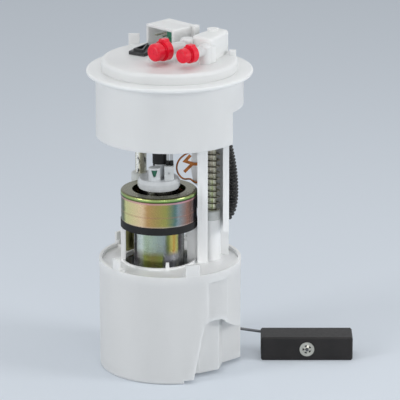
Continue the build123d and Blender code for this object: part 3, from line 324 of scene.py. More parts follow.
def passivated_filter(base):
    """Deep drawn steel, zinc plated and passivated: colours from straw to gold, blue and rust, laid round the
    ring as seen from the front, with painted reflections and painted shade in the dark bands and painted
    highlights in the pale ones.
    """
    tree, shader = blank("passivated_filter", base, roughness=0.2, Metallic=1.0)
    turn, height = round_axis(tree, PUMP_AXIS)
    streaks = noise(tree, 9 * MM, detail=4.0, stretch=(1, 1, 7), roughness=0.6)
    seen_turn = wavered(tree, turn, streaks, amount=0.012)
    # Colours by turn, as seen from the front: passivation colours with painted reflection, painted shade and
    # painted highlights.
    film_and_reflection = add(tree, "ShaderNodeValToRGB", {"Fac": seen_turn}, stops=film_stops(FILTER_FILM_AND_REFLECTIONS))
    level = add(tree, "ShaderNodeMapRange", {"Value": height, **FILTER_RING})
    level = wavered(tree, level, noise(tree, 14 * MM), amount=0.012)
    # Colours by height: painted shade under the rolled top edge, painted reflection at the foot.
    bands = add(tree, "ShaderNodeValToRGB", {"Fac": level}, stops=film_stops(FILTER_BANDS))
    layered(tree, shader, film_and_reflection, (bands, bands.outputs["Alpha"]))
    rough_span(tree, shader, noise(tree, 3 * MM, detail=4.0), low=0.18, high=0.34)
    relief(tree, shader, streaks, depth=0.02 * MM, strength=0.5)


def passivated_can(base):
    """Drawn steel can, zinc plated and passivated: silver green, gold at one side and low on the front, laid
    out as seen from the front with painted reflections, highlights and shade, and a neck of painted shade
    with a painted highlight.
    """
    tree, shader = blank("passivated_can", base, roughness=0.2, Metallic=1.0)
    turn, height = round_axis(tree, PUMP_AXIS)
    drawn = noise(tree, 7 * MM, detail=3.0, stretch=(3, 3, 0.25))
    seen_turn = wavered(tree, turn, drawn, amount=0.012)
    # Colours by turn: passivation colours with painted reflections, highlights and shade.
    film_and_reflection = add(tree, "ShaderNodeValToRGB", {"Fac": seen_turn}, stops=film_stops(CAN_FILM_AND_REFLECTIONS))
    low_film_and_reflection = add(tree, "ShaderNodeValToRGB", {"Fac": seen_turn}, stops=film_stops(CAN_LOW_FILM_AND_REFLECTIONS))
    # Neck: painted shade with a painted highlight.
    neck_shade_and_highlight = add(tree, "ShaderNodeValToRGB", {"Fac": seen_turn}, stops=film_stops(NECK_SHADE_AND_HIGHLIGHT))
    level = add(tree, "ShaderNodeMapRange", {"Value": height, **CAN_LOW_DRIFT})
    level = wavered(tree, level, noise(tree, 8 * MM), amount=0.4)
    neck = add(tree, "ShaderNodeMapRange", {"Value": height, **CAN_NECK_SHADE_HEIGHTS})
    layered(tree, shader, film_and_reflection, (low_film_and_reflection, level), (neck_shade_and_highlight, neck))
    rough_span(tree, shader, noise(tree, 3 * MM, detail=4.0), low=0.18, high=0.34)
    relief(tree, shader, drawn, depth=0.015 * MM, strength=0.5)


def soft_polythene(colour):
    """Low density polythene, moulded: saturated, waxy, light bleeds round its edges."""
    tree, shader = blank("red_polythene", colour, roughness=0.34, IOR=1.42)
    shader.inputs["Subsurface Weight"].default_value = 0.25
    shader.inputs["Subsurface Radius"].default_value = (1.0, 0.25, 0.2)
    shader.inputs["Subsurface Scale"].default_value = 1.5 * MM
    tint(tree, shader, noise(tree, 4 * MM, detail=3.0), dimmed(colour, 0.88), colour)
    rough_span(tree, shader, noise(tree, 2 * MM, detail=3.0), low=0.22, high=0.38)
    relief(tree, shader, noise(tree, 0.8 * MM), depth=0.02 * MM, strength=0.5)


def moulded(name, colour, roughness, grain=0.6 * MM, depth=0.015 * MM):
    """Filled engineering plastic, moulded in a spark-eroded tool: even colour with a fine matt grain."""
    tree, shader = blank(name, colour, roughness, IOR=1.5)
    tint(tree, shader, noise(tree, 7 * MM, detail=3.0), dimmed(colour, 0.88), colour)
    rough_span(tree, shader, noise(tree, 2.5 * MM, detail=3.0), low=roughness - 0.07, high=roughness + 0.08)
    relief(tree, shader, noise(tree, grain), depth, strength=0.8)


def nitrile(name, colour, roughness):
    """Nitrile rubber, moulded: near black with a soft grey bloom."""
    tree, shader = blank(name, colour, roughness, IOR=1.52, Specular_IOR_Level=0.3)
    bloom = noise(tree, 8 * MM, detail=5.0)
    tint(tree, shader, bloom, colour, dimmed(colour, 1.9), low=0.4, high=0.75)
    rough_span(tree, shader, bloom, low=roughness - 0.1, high=roughness + 0.12)
    relief(tree, shader, noise(tree, 0.5 * MM), depth=0.02 * MM, strength=0.8)


def speckled_hose(dark, painted_glint):
    """Corrugated hose in a woven sleeve of black polyamide: lumpy, with painted glints where the threads
    cross.
    """
    tree, shader = blank("corrugated_polyamide", dark, roughness=0.34, IOR=1.53, Specular_IOR_Level=0.35)
    place = add(tree, "ShaderNodeTexCoord")
    threads = add(tree, "ShaderNodeTexVoronoi",
                  {"Scale": 1 / (1.7 * MM), "Randomness": 0.8, "Vector": place.outputs["Object"]})
    # Pale painted glints at the middle of each thread cell.
    tint(tree, shader, threads, painted_glint, dark, low=0.08, high=0.26)
    rough_span(tree, shader, noise(tree, 2 * MM, detail=3.0), low=0.26, high=0.5)
    relief(tree, shader, threads, depth=0.5 * MM, strength=0.8)


def cell_foam(colour):
    """Closed-cell nitrile foam, cut and skinned: dark, matt, with fine pores that catch the light."""
    tree, shader = blank("closed_cell_foam", colour, roughness=0.62, IOR=1.5, Specular_IOR_Level=0.35)
    tint(tree, shader, noise(tree, 12 * MM, detail=5.0), dimmed(colour, 0.8), dimmed(colour, 1.35),
         low=0.3, high=0.7)
    place = add(tree, "ShaderNodeTexCoord")
    pores = add(tree, "ShaderNodeTexVoronoi", {"Scale": 1 / (0.9 * MM), "Vector": place.outputs["Object"]})
    rough_span(tree, shader, noise(tree, 3 * MM, detail=3.0), low=0.5, high=0.7)
    relief(tree, shader, pores, depth=0.05 * MM, strength=0.5)


def rolled_copper(colour):
    """Rolled copper strip and bare wire: warm metal going brown where it has been handled."""
    tree, shader = blank("rolled_copper", colour, roughness=0.3, Metallic=1.0)
    tint(tree, shader, noise(tree, 3 * MM, detail=4.0), dimmed(colour, 0.45), colour, low=0.3, high=0.6)
    rough_span(tree, shader, noise(tree, 1.5 * MM, detail=3.0), low=0.22, high=0.4)
    relief(tree, shader, noise(tree, 0.6 * MM), depth=0.01 * MM, strength=0.6)


def sheet_metal(name, colour, roughness):
    """Stamped and plated sheet or sintered metal: even, slightly frosted."""
    tree, shader = blank(name, colour, roughness, Metallic=1.0)
    tint(tree, shader, noise(tree, 5 * MM, detail=4.0), dimmed(colour, 0.78), colour)
    rough_span(tree, shader, noise(tree, 1.5 * MM, detail=3.0), low=roughness - 0.08, high=roughness + 0.1)
    relief(tree, shader, noise(tree, 0.7 * MM), depth=0.01 * MM, strength=0.7)


def fibre(name, colour, pitch):
    """Filter paper or woven nylon: dull, with a crossing of threads a given pitch apart."""
    tree, shader = blank(name, colour, roughness=0.8)
    place = add(tree, "ShaderNodeTexCoord")
    warp, weft = [add(tree, "ShaderNodeTexWave",
                      {"Scale": 1 / (math.tau * pitch), "Distortion": 0.4, "Vector": place.outputs["Object"]},
                      bands_direction=way) for way in "XY"]
    cross = add(tree, "ShaderNodeMath",
                {0: warp.outputs["Fac"], 1: weft.outputs["Fac"]}, operation="MULTIPLY")
    tint(tree, shader, cross, dimmed(colour, 0.7), colour, low=0.1, high=0.8)
    relief(tree, shader, cross, depth=0.05 * MM, strength=0.8)


# ---------------------------------------------------------------- settings that a user may change
class FPM_Finish(bpy.types.PropertyGroup):
    """Colours of the finishes."""
    acetal: colour_prop("Acetal", "Milky white of flange and pot", "#ECEDEC")
    # Paler than the flange's acetal as painted light, standing in for light that comes through the carrier's
    # thin walls.
    carrier_lit_white: colour_prop("Thin acetal", "Paler white of the thin walls of the carrier", "#FCFDFD")
    cap_red: colour_prop("Cap red", "Red of the transport caps", "#F01C38")
    spring: colour_prop("Spring", "Drawn steel of the springs", "#B9B4A6")
    # Painted shade on the front turns of the wound spring.
    coil_front_shade: colour_prop("Coil, oiled", "Oiled side of the wound spring", "#4A4535")
    zinc_gold: colour_prop("Filter gold", "Metal under the filter's film", "#C9BE86")
    can_silver: colour_prop("Can silver", "Metal under the can's film", "#D3D6BC")
    cap_grey: colour_prop("End cap grey", "Grey of the pump's end cap", "#DDE0E2")
    rubber: colour_prop("Rubber", "Black of hoses and cushions", "#121213")
    plate: colour_prop("Plate", "Black of the plate on the flange", "#1E2022")
    foam: colour_prop("Foam", "Dark grey of the float", "#1F1D1D")
    copper: colour_prop("Copper", "Copper strap and wire", "#B3703F")
    green: colour_prop("Green", "Green insert and plug", "#2E7A5E")
    floor: colour_prop("Floor", "Pale floor and backdrop", "#DCE3EB")


class FPM_Sizes(bpy.types.PropertyGroup):
    """Sizes of the pieces that are made here."""
    spring_wire: size_prop("Spring wire", "Radius of the spring's wire", 0.55)
    spring_radius: size_prop("Spring radius", "Radius of the spring's coil, to the wire's middle", 6.7)
    spring_pitch: size_prop("Spring pitch", "Distance between two coils", 4.9)
    valve_wire: size_prop("Valve spring wire", "Radius of the valve spring's wire", 0.22)
    valve_radius: size_prop("Valve spring radius", "Radius of the valve spring, to the wire's middle", 1.95)
    valve_pitch: size_prop("Valve spring pitch", "Distance between two coils of the valve spring", 2.0)
    hose_core: size_prop("Hose core", "Radius in the valleys of the corrugated hose", 4.9)
    hose_crest: size_prop("Hose crest", "Radius on the crests of the corrugated hose", 6.0)
    hose_pitch: size_prop("Hose pitch", "Distance between two crests", 2.6)
    lead: size_prop("Pump lead", "Radius of a pump lead", 1.1)
    thin_lead: size_prop("Sender lead", "Radius of a sender lead", 0.8)
    clip_hole: size_prop("Clip hole", "Radius inside the prongs of the float's clip", 1.2)
    clip_sheet: size_prop("Clip sheet", "Thickness of the float's clip", 0.5)
    clip_prongs: IntProperty(name="Clip prongs", description="Prongs of the float's push-on clip", default=5,
                             min=3, max=12)


# ---------------------------------------------------------------- making meshes
def finish_mesh(name, made, material, body, replaces, edge):
    """Turns a bmesh or a mesh into a piece in place of CAD nodes, attached to its body where one is given."""
    if isinstance(made, bmesh.types.BMesh):
        mesh = bpy.data.meshes.new(name)
        bmesh.ops.recalc_face_normals(made, faces=made.faces)
        made.to_mesh(mesh)
        made.free()
    else:
        mesh = made
    mesh.shade_smooth()
    mesh.set_sharp_from_angle(angle=math.radians(edge))
    piece = bpy.data.objects.new(name, mesh)
    bpy.context.scene.collection.objects.link(piece)
    mesh.materials.clear()
    mesh.materials.append(material)
    if body:
        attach(piece, body)
    if replaces:
        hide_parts(*replaces)
    return piece


def evaluated_mesh(source):
    """Plain mesh of an object with its modifiers or bevel worked out; the source goes."""
    bpy.context.view_layer.update()
    graph = bpy.context.evaluated_depsgraph_get()
    mesh = bpy.data.meshes.new_from_object(source.evaluated_get(graph))
    bpy.data.objects.remove(source)
    return mesh


CURVE_STEPS = 12      # segments between two control points of a route
BAR_SIDES = 6         # bevel steps of a round bar along it, and of a thin one
THIN_BAR_SIDES = 5
LATHE_STEPS = 32


def spline_object(name, points, radius=0.0, sides=0):
    """Smooth curve along control points in millimetres, a round bar where a radius is given."""
    curve = bpy.data.curves.new(name, "CURVE")
    curve.dimensions = "3D"
    curve.resolution_u = CURVE_STEPS
    curve.bevel_depth = radius
    curve.bevel_resolution = sides
    curve.use_fill_caps = True
    spline = curve.splines.new("NURBS")
    spline.points.add(len(points) - 1)
    for point, spot in zip(spline.points, points):
        point.co = (spot[0] * MM, spot[1] * MM, spot[2] * MM, 1.0)
    spline.order_u = 3
    spline.use_endpoint_u = True
    made = bpy.data.objects.new(name, curve)
    bpy.context.scene.collection.objects.link(made)
    return made


def tube_mesh(name, points, radius, sides=BAR_SIDES):
    """Round bar along a smooth route."""
    return evaluated_mesh(spline_object(name, points, radius, sides))


def lathe(name, profile, centre):
    """Body turned about an upright axis from a closed (radius, z) outline in millimetres."""
    work = bmesh.new()
    rings = []
    for i in range(LATHE_STEPS):
        angle = math.tau * i / LATHE_STEPS
        c, s = math.cos(angle), math.sin(angle)
        rings.append([work.verts.new(((centre[0] + r * c) * MM, (centre[1] + r * s) * MM, z * MM))
                      for r, z in profile])
    count = len(profile)
    for i in range(LATHE_STEPS):
        near, after = rings[i], rings[(i + 1) % LATHE_STEPS]
        for j in range(count):
            k = (j + 1) % count
            work.faces.new((near[j], after[j], after[k], near[k]))
    mesh = bpy.data.meshes.new(name)
    work.to_mesh(mesh)
    work.free()
    return mesh


def join_meshes(meshes):
    """Several meshes as one bmesh; the meshes go."""
    whole = bmesh.new()
    for mesh in meshes:
        whole.from_mesh(mesh)
        bpy.data.meshes.remove(mesh)
    return whole


# ---------------------------------------------------------------- Geometry Nodes
COIL_STEPS = 28         # segments in one turn of a coil
WIRE_SIDES = 10
HOSE_SIDES = 32
RIB_STEPS = 10.0        # rings along one rib of the hose
RIB_WAVE = (-0.9, 0.5)  # ends of the cosine that stay: narrow valleys and flat crests
CLIP_STEPS = 48
CLIP_RIM = 0.5          # width of the clip's rim, as a share of the sheet from hole to edge
PRONG_REACH = 0.58      # length of a prong, as a share of the same
PRONG_WIDTH = 0.42      # and its width
PRONG_RISE = 11         # degrees that a prong stands up


def new_tree(name, sockets):
    """Geometry node tree with a geometry in and out and named inputs: the tree, its inputs and its end."""
    tree = bpy.data.node_groups.new(name, "GeometryNodeTree")
    tree.interface.new_socket("Geometry", in_out="INPUT", socket_type="NodeSocketGeometry")
    for label, value in sockets.items():
        kind = "NodeSocketInt" if isinstance(value, int) else "NodeSocketFloat"
        tree.interface.new_socket(label, in_out="INPUT", socket_type=kind).default_value = value
    tree.interface.new_socket("Geometry", in_out="OUTPUT", socket_type="NodeSocketGeometry")
    return tree, add(tree, "NodeGroupInput").outputs, add(tree, "NodeGroupOutput")


def close_tree(tree, geometry, material, out):
    """Ends a tree: instances made real, the finish set, the faces smooth."""
    real = add(tree, "GeometryNodeRealizeInstances", {"Geometry": geometry})
    dressed = add(tree, "GeometryNodeSetMaterial", {"Material": material, "Geometry": real})
    smooth = add(tree, "GeometryNodeSetShadeSmooth", {"Geometry": dressed})
    tree.links.new(smooth.outputs["Geometry"], out.inputs["Geometry"])


def grown(name, source, tree, values):
    """Runs a node tree on an object and gives the plain mesh."""
    modifier = source.modifiers.new(name, "NODES")
    modifier.node_group = tree
    for item in tree.interface.items_tree:
        if item.item_type == "SOCKET" and item.in_out == "INPUT" and item.name in values:
            modifier[item.identifier] = values[item.name]
    return evaluated_mesh(source)


def empty_carrier(name):
    """Object without geometry for a node tree to grow on."""
    carrier = bpy.data.objects.new(name, bpy.data.meshes.new(name))
    bpy.context.scene.collection.objects.link(carrier)
    return carrier


def coil_tree(material):
    """Round wire wound into an upright coil."""
    tree, given, out = new_tree("wound_coil",
                                {"Radius": 0.0067, "Height": 0.1, "Turns": 20.0, "Wire": 0.0006})
    spiral = add(tree, "GeometryNodeCurveSpiral",
                 {"Resolution": COIL_STEPS, "Rotations": given["Turns"],
                  "Start Radius": given["Radius"], "End Radius": given["Radius"],
                  "Height": given["Height"]})
    ring = add(tree, "GeometryNodeCurvePrimitiveCircle",
               {"Resolution": WIRE_SIDES, "Radius": given["Wire"]})
    wire = add(tree, "GeometryNodeCurveToMesh", {"Fill Caps": True, "Curve": spiral, "Profile Curve": ring})
    close_tree(tree, wire, material, out)
    return tree


def ribbed_tree(material):
    """Hose along a curve whose radius swings between valley and crest once a pitch."""
    tree, given, out = new_tree("ribbed_hose", {"Valley": 0.005, "Crest": 0.006, "Pitch": 0.0026})
    step = add(tree, "ShaderNodeMath", {0: given["Pitch"], 1: RIB_STEPS}, operation="DIVIDE")
    path = add(tree, "GeometryNodeResampleCurve", {"Curve": given["Geometry"], "Length": step}, mode="LENGTH")
    along = add(tree, "GeometryNodeSplineParameter")
    turns = add(tree, "ShaderNodeMath", {0: along.outputs["Length"], 1: given["Pitch"]}, operation="DIVIDE")
    angle = add(tree, "ShaderNodeMath", {0: turns, 1: math.tau}, operation="MULTIPLY")
    wave = add(tree, "ShaderNodeMath", {0: angle}, operation="COSINE")
    radius = add(tree, "ShaderNodeMapRange",
                 {"From Min": RIB_WAVE[0], "From Max": RIB_WAVE[1], "Value": wave,
                  "To Min": given["Valley"], "To Max": given["Crest"]})
    ring = add(tree, "GeometryNodeCurvePrimitiveCircle", {"Resolution": HOSE_SIDES, "Radius": 1.0})
    skin = add(tree, "GeometryNodeCurveToMesh",
               {"Fill Caps": True, "Curve": path, "Profile Curve": ring, "Scale": radius})
    close_tree(tree, skin, material, out)
    return tree


def clip_tree(material):
    """Star washer in the xy plane: a ring of sheet with prongs that rise towards its hole."""
    tree, given, out = new_tree("push_on_clip",
                                {"Outer": 0.00575, "Inner": 0.0012, "Thickness": 0.0005, "Prongs": 5})
    reach = add(tree, "ShaderNodeMath", {0: given["Outer"], 1: given["Inner"]}, operation="SUBTRACT")
    rim_w = add(tree, "ShaderNodeMath", {0: reach, 1: CLIP_RIM}, operation="MULTIPLY")
    rim_mid = add(tree, "ShaderNodeMath",
                  {0: rim_w, 1: -0.5, 2: given["Outer"]}, operation="MULTIPLY_ADD")
    circle = add(tree, "GeometryNodeCurvePrimitiveCircle", {"Resolution": CLIP_STEPS, "Radius": rim_mid})
    sheet = add(tree, "GeometryNodeCurvePrimitiveQuadrilateral",
                {"Width": rim_w, "Height": given["Thickness"]})
    rim = add(tree, "GeometryNodeCurveToMesh", {"Curve": circle, "Profile Curve": sheet})
    prong_len = add(tree, "ShaderNodeMath", {0: reach, 1: PRONG_REACH}, operation="MULTIPLY")
    prong_w = add(tree, "ShaderNodeMath", {0: reach, 1: PRONG_WIDTH}, operation="MULTIPLY")
    size = add(tree, "ShaderNodeCombineXYZ", {"X": prong_len, "Y": prong_w, "Z": given["Thickness"]})
    prong = add(tree, "GeometryNodeMeshCube", {"Size": size})
    tilted = add(tree, "GeometryNodeTransform",
                 {"Rotation": (0.0, math.radians(PRONG_RISE), 0.0), "Geometry": prong})
    middle = add(tree, "ShaderNodeMath",
                 {0: prong_len, 1: 0.5, 2: given["Inner"]}, operation="MULTIPLY_ADD")
    spots = add(tree, "GeometryNodeMeshCircle", {"Vertices": given["Prongs"], "Radius": middle})
    place = add(tree, "GeometryNodeInputPosition")
    facing = add(tree, "FunctionNodeAlignEulerToVector", {"Vector": place}, axis="X", pivot_axis="Z")
    star = add(tree, "GeometryNodeInstanceOnPoints",
               {"Points": spots, "Instance": tilted, "Rotation": facing})
    whole = add(tree, "GeometryNodeJoinGeometry")
    tree.links.new(rim.outputs["Mesh"], whole.inputs["Geometry"])
    tree.links.new(star.outputs["Instances"], whole.inputs["Geometry"])
    close_tree(tree, whole, material, out)
    return tree


def stock(name):
    """Finish by its name, once the finishes are made."""
    return bpy.data.materials[name]


def dress(finish, *nodes):
    """Gives CAD pieces a finish in their own material slots."""
    for node in nodes:
        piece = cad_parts[node]
        if not piece.material_slots:
            piece.data.materials.append(None)
        for place in piece.material_slots:
            place.material = stock(finish)


# ---------------------------------------------------------------- operators, one for each group of pieces
class FPM_OT_finishes(bpy.types.Operator):
    """Makes the finishes that the pieces share"""
    bl_idname = "fpm.finishes"
    bl_label = "Finishes"

    # Name, colour and roughness of each.
    plain_mouldings = (("white_polyester", "#DADDDE", 0.4), ("bush_acetal", "#D2D5D3", 0.34),
                       ("carbon_brush", "#3A3A3C", 0.6), ("pump_lead_sheath", "#C9CCCF", 0.45),
                       ("sender_lead_sheath", "#D9DCDF", 0.45), ("polyamide_line", "#D8D6C8", 0.3),
                       ("alumina_card", "#E8E6DE", 0.7))
    plain_metals = (("ground_shaft_steel", "#C8CACC", 0.16), ("tinned_blade_brass", "#CFCBB9", 0.28),
                    ("porous_bronze", "#B58A5A", 0.5), ("regulator_steel", "#7C7A52", 0.3),
                    ("motor_laminations", "#8C8C8C", 0.4), ("zinc_sheet", "#CFCDC2", 0.3),
                    ("float_arm_wire", "#6E6F72", 0.35))

    def execute(self, context):
        f = context.scene.fpm_finish
        natural_acetal("milky_acetal", f.acetal, milk=0.8, reach=7 * MM)
        # The carrier's acetal is paler as painted light, for light through its thin walls.
        natural_acetal("carrier_acetal_painted_light", f.carrier_lit_white, milk=0.25, reach=2 * MM)
        plated_rod("plated_rod_right", RIGHT_ROD, ROD_UPPER, ROD_LOWER, stain_and_reflection=0.25)
        # Nearly full share of dark blotches: painted reflections on the chrome.
        plated_rod("plated_rod_left", LEFT_ROD, CHROME, CHROME, stain_and_reflection=0.95)
        drawn_wire(f.spring)
        # Spring colours: painted shade in front, painted light at the sides.
        painted_shade_coil(f.coil_front_shade, f.spring)
        passivated_filter(f.zinc_gold)
        passivated_can(f.can_silver)
        soft_polythene(f.cap_red)
        moulded("black_polyamide", f.plate, roughness=0.4)
        moulded("green_polyamide", f.green, roughness=0.38)
        moulded("grey_acetal", f.cap_grey, roughness=0.36)
        moulded("ferrite_magnet", linear("#35332F"), roughness=0.6, grain=0.4 * MM, depth=0.03 * MM)
        nitrile("nitrile_rubber", f.rubber, roughness=0.55)
        nitrile("braided_hose_rubber", f.rubber, roughness=0.62)
        # The pale colour gives the hose's painted glints.
        speckled_hose(dimmed(f.rubber, 0.3), linear("#7C7972"))
        cell_foam(f.foam)
        rolled_copper(f.copper)
        fibre("pleated_paper", linear("#E0D2A0"), pitch=0.8 * MM)
        fibre("woven_strainer", linear("#CFD2D4"), pitch=0.5 * MM)
        for name, code, roughness in self.plain_mouldings:
            moulded(name, linear(code), roughness)
        for name, code, roughness in self.plain_metals:
            sheet_metal(name, linear(code), roughness)
        return {"FINISHED"}


class FPM_OT_mouldings(bpy.types.Operator):
    """Finishes the mouldings: flange, carrier, pot and their small fittings"""
    bl_idname = "fpm.mouldings"
    bl_label = "Mouldings"

    def execute(self, context):
        dress("milky_acetal", "tank_flange", "reservoir_pot")
        # Paler acetal of the carrier: painted light.
        dress("carrier_acetal_painted_light", "carrier")
        dress("tinned_blade_brass", "connector_blades")
        dress("green_polyamide", "connector_insert")
        dress("black_polyamide", "vent_plate")
        dress("red_polythene", "cap_front", "cap_side")
        dress("plated_rod_right", "guide_rod_right")
        dress("plated_rod_left", "guide_rod_left")
        dress("ground_shaft_steel", "rod_clips")
        dress("bush_acetal", "bush_right", "bush_left")
        return {"FINISHED"}


class FPM_OT_pump(bpy.types.Operator):
    """Finishes the filter and the pump with what is inside them"""
    bl_idname = "fpm.pump"
    bl_label = "Filter and pump"

    def execute(self, context):
        dress("passivated_filter", "filter_housing", "filter_lid")
        dress("pleated_paper", "filter_element")
        dress("passivated_can", "pump_can")
        dress("regulator_steel", "pressure_regulator")
        dress("nitrile_rubber", "filter_cushion", "pump_cushion", "foot_valve")
        dress("grey_acetal", "pump_end_cap", "pump_inlet_cover", "chamber_plate", "impeller")
        dress("green_polyamide", "relief_plug")
        dress("white_polyester", "pump_plug", "jet_pump")
        dress("tinned_blade_brass", "pump_pins")
        dress("bush_acetal", "check_valve", "check_valve_cage")
        dress("ground_shaft_steel", "motor_shaft")
        dress("motor_laminations", "armature")
        dress("rolled_copper", "commutator")
        dress("carbon_brush", "brushes")
        dress("ferrite_magnet", "magnets")
        dress("porous_bronze", "shaft_bearings")
        dress("drawn_spring_steel", "brush_springs")
        dress("polyamide_line", "jet_line")
        dress("woven_strainer", "suction_strainer")
        return {"FINISHED"}


class FPM_OT_spring(bpy.types.Operator):
    """Winds the compression spring round the right rod and the small spring of the check valve"""
    bl_idname = "fpm.spring"
    bl_label = "Springs"

    def execute(self, context):
        sizes = context.scene.fpm_sizes
        # The wound spring's finish carries painted shade and painted light.
        self.wind("wound_spring", "compression_spring", "coil_steel_painted_shade", sizes.spring_radius,
                  sizes.spring_pitch, sizes.spring_wire, "flange_unit", "lower_module")
        self.wind("valve_coil", "check_valve_spring", "drawn_spring_steel", sizes.valve_radius,
                  sizes.valve_pitch, sizes.valve_wire, "lower_module", "outlet_valve")
        return {"FINISHED"}

    def wind(self, name, node, finish, radius, pitch, wire, upper, lower):
        """Coil in the place of a node; upper and lower, the bodies at its top and at its foot, are not used.
        """
        low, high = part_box(node)
        height = high[2] - low[2] - 2 * wire
        mesh = grown(name, empty_carrier("coil_seed"), coil_tree(stock(finish)),
                     {"Radius": radius, "Height": height, "Turns": height / pitch, "Wire": wire})
        foot = Vector((*node_axis(node), low[2]))
        mesh.transform(Matrix.Translation(foot + Vector((0, 0, wire))))
        coil = finish_mesh(name, mesh, stock(finish), None, (node,), TUBE_EDGE)
        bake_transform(coil)


class FPM_OT_hoses(bpy.types.Operator):
    """Finishes the outlet hose and lays the corrugated hose"""
    bl_idname = "fpm.hoses"
    bl_label = "Hoses"

    # Control points in millimetres, from the filter's nipple round the bend and up into the flange.
    ribbed = ((18, 22, -109), (26, 22, -109), (36, 22, -124.5), (47.3, 22, -119), (47.3, 22, -84),
              (38, 22, -46), (38, 22, -4))
    upright_from = 4      # the point above the bend

    def execute(self, context):
        sizes = context.scene.fpm_sizes
        dress("braided_hose_rubber", "outlet_hose")
        finish = stock("corrugated_polyamide")
        mesh = grown("ribbed_hose", spline_object("ribbed_line", self.ribbed), ribbed_tree(finish),
                     {"Valley": sizes.hose_core, "Crest": sizes.hose_crest, "Pitch": sizes.hose_pitch})
        ribbed = finish_mesh("corrugated_hose_skin", mesh, finish, None, ("corrugated_hose",), TUBE_EDGE)
        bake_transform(ribbed)
        return {"FINISHED"}


class FPM_OT_leads(bpy.types.Operator):
    """Lays the leads of the pump and of the sender"""
    bl_idname = "fpm.leads"
    bl_label = "Leads"

    # Control points in millimetres: from the pump's plug, and from the connector down to the sender.
    pump = (((-1.5, -5, -76.9), (-1.5, -5, -52), (0, 10, -22), (-0.42, 39.17, -12), (-0.42, 39.17, 5)),
            ((1.4, -5, -76.9), (1.4, -5, -52), (2.9, 10, -22), (4.1, 34.65, -12), (4.1, 34.65, 5)))
    sender = (((8.63, 30.12, 5), (8.63, 30.12, -12), (22, 45, -55), (31, 51, -105), (31, 51, -164),
               (24, 38, -168), (24, 25, -168)),
              ((13.15, 25.6, 5), (13.15, 25.6, -12), (24.4, 43.6, -55), (33.4, 49.6, -105),
               (33.4, 49.6, -164), (26.8, 37.3, -168), (26.8, 25, -168)))
    # Outline of a rubber boot, radius and height above the plug in millimetres.
    boot = ((1.0, 0), (1.45, 0), (1.5, 0.4), (1.5, 2.6), (1.35, 3.4), (1.2, 3.9), (1.0, 4.1))

    def execute(self, context):
        sizes = context.scene.fpm_sizes
        pump = [tube_mesh("pump_lead", route, sizes.lead) for route in self.pump]
        bundle = finish_mesh("pump_lead_pair", join_meshes(pump), stock("pump_lead_sheath"), None,
                             ("pump_leads",), TUBE_EDGE)
        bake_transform(bundle)
        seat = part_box("pump_plug")[1][2] / MM
        boots = [lathe("boot", [(r, seat + z) for r, z in self.boot], route[0][:2]) for route in self.pump]
        finish_mesh("lead_boots", join_meshes(boots), stock("nitrile_rubber"), "lower_module", (),
                    RUBBER_EDGE)
        sender = [tube_mesh("sender_lead", route, sizes.thin_lead) for route in self.sender]
        bundle = finish_mesh("sender_lead_pair", join_meshes(sender), stock("sender_lead_sheath"), None,
                             ("sender_leads",), TUBE_EDGE)
        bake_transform(bundle)
        return {"FINISHED"}


class FPM_OT_straps(bpy.types.Operator):
    """Finishes the copper earth strap and bends the copper lead beside it"""
    bl_idname = "fpm.straps"
    bl_label = "Copper straps"

    # Control points in x and z, radius and y of the bare copper lead, in millimetres.
    lead = ((21.3, -64), (15.5, -64), (6.5, -70.5), (4.6, -79.5), (9.8, -87), (16, -86), (18.5, -89.2),
            (21.3, -89.2))
    lead_radius = 0.7
    lead_y = 3.2

    def execute(self, context):
        dress("rolled_copper", "earth_strap")
        mesh = tube_mesh("copper_wire", [(x, self.lead_y, z) for x, z in self.lead], self.lead_radius * MM,
                         THIN_BAR_SIDES)
        finish_mesh("copper_wire", mesh, stock("rolled_copper"), "lower_module", ("copper_lead",), TUBE_EDGE)
        return {"FINISHED"}


class FPM_OT_sender(bpy.types.Operator):
    """Finishes the level sender, its arm, the float and its push-on clip"""
    bl_idname = "fpm.sender"
    bl_label = "Sender and float"

    def execute(self, context):
        dress("white_polyester", "sender_bracket", "arm_hub")
        dress("alumina_card", "sender_card")
        dress("drawn_spring_steel", "wiper")
        dress("float_arm_wire", "float_arm")
        dress("closed_cell_foam", "float")
        self.push_on_clip(context.scene.fpm_sizes)
        return {"FINISHED"}

    def push_on_clip(self, sizes):
        """Star washer in the place of the plain disc on the arm's end."""
        low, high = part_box("float_clip")
        finish = stock("zinc_sheet")
        mesh = grown("push_on_clip", empty_carrier("clip_seed"), clip_tree(finish),
                     {"Outer": (high[0] - low[0]) / 2, "Inner": sizes.clip_hole,
                      "Thickness": sizes.clip_sheet, "Prongs": sizes.clip_prongs})
        mesh.transform(Matrix.Rotation(math.radians(90), 4, "X"))
        middle = [(low[i] + high[i]) / 2 for i in range(3)]
        mesh.transform(Matrix.Translation(middle))
        finish_mesh("float_star_clip", mesh, finish, "sender_arm", ("float_clip",), SHEET_EDGE)


# ---------------------------------------------------------------- stage, in metres
class Softbox(NamedTuple):
    """Rectangular lamp: where it hangs, what it faces, its size and its power in watts."""
    name: str
    place: tuple
    aim: tuple
    width: float
    height: float
    watts: float


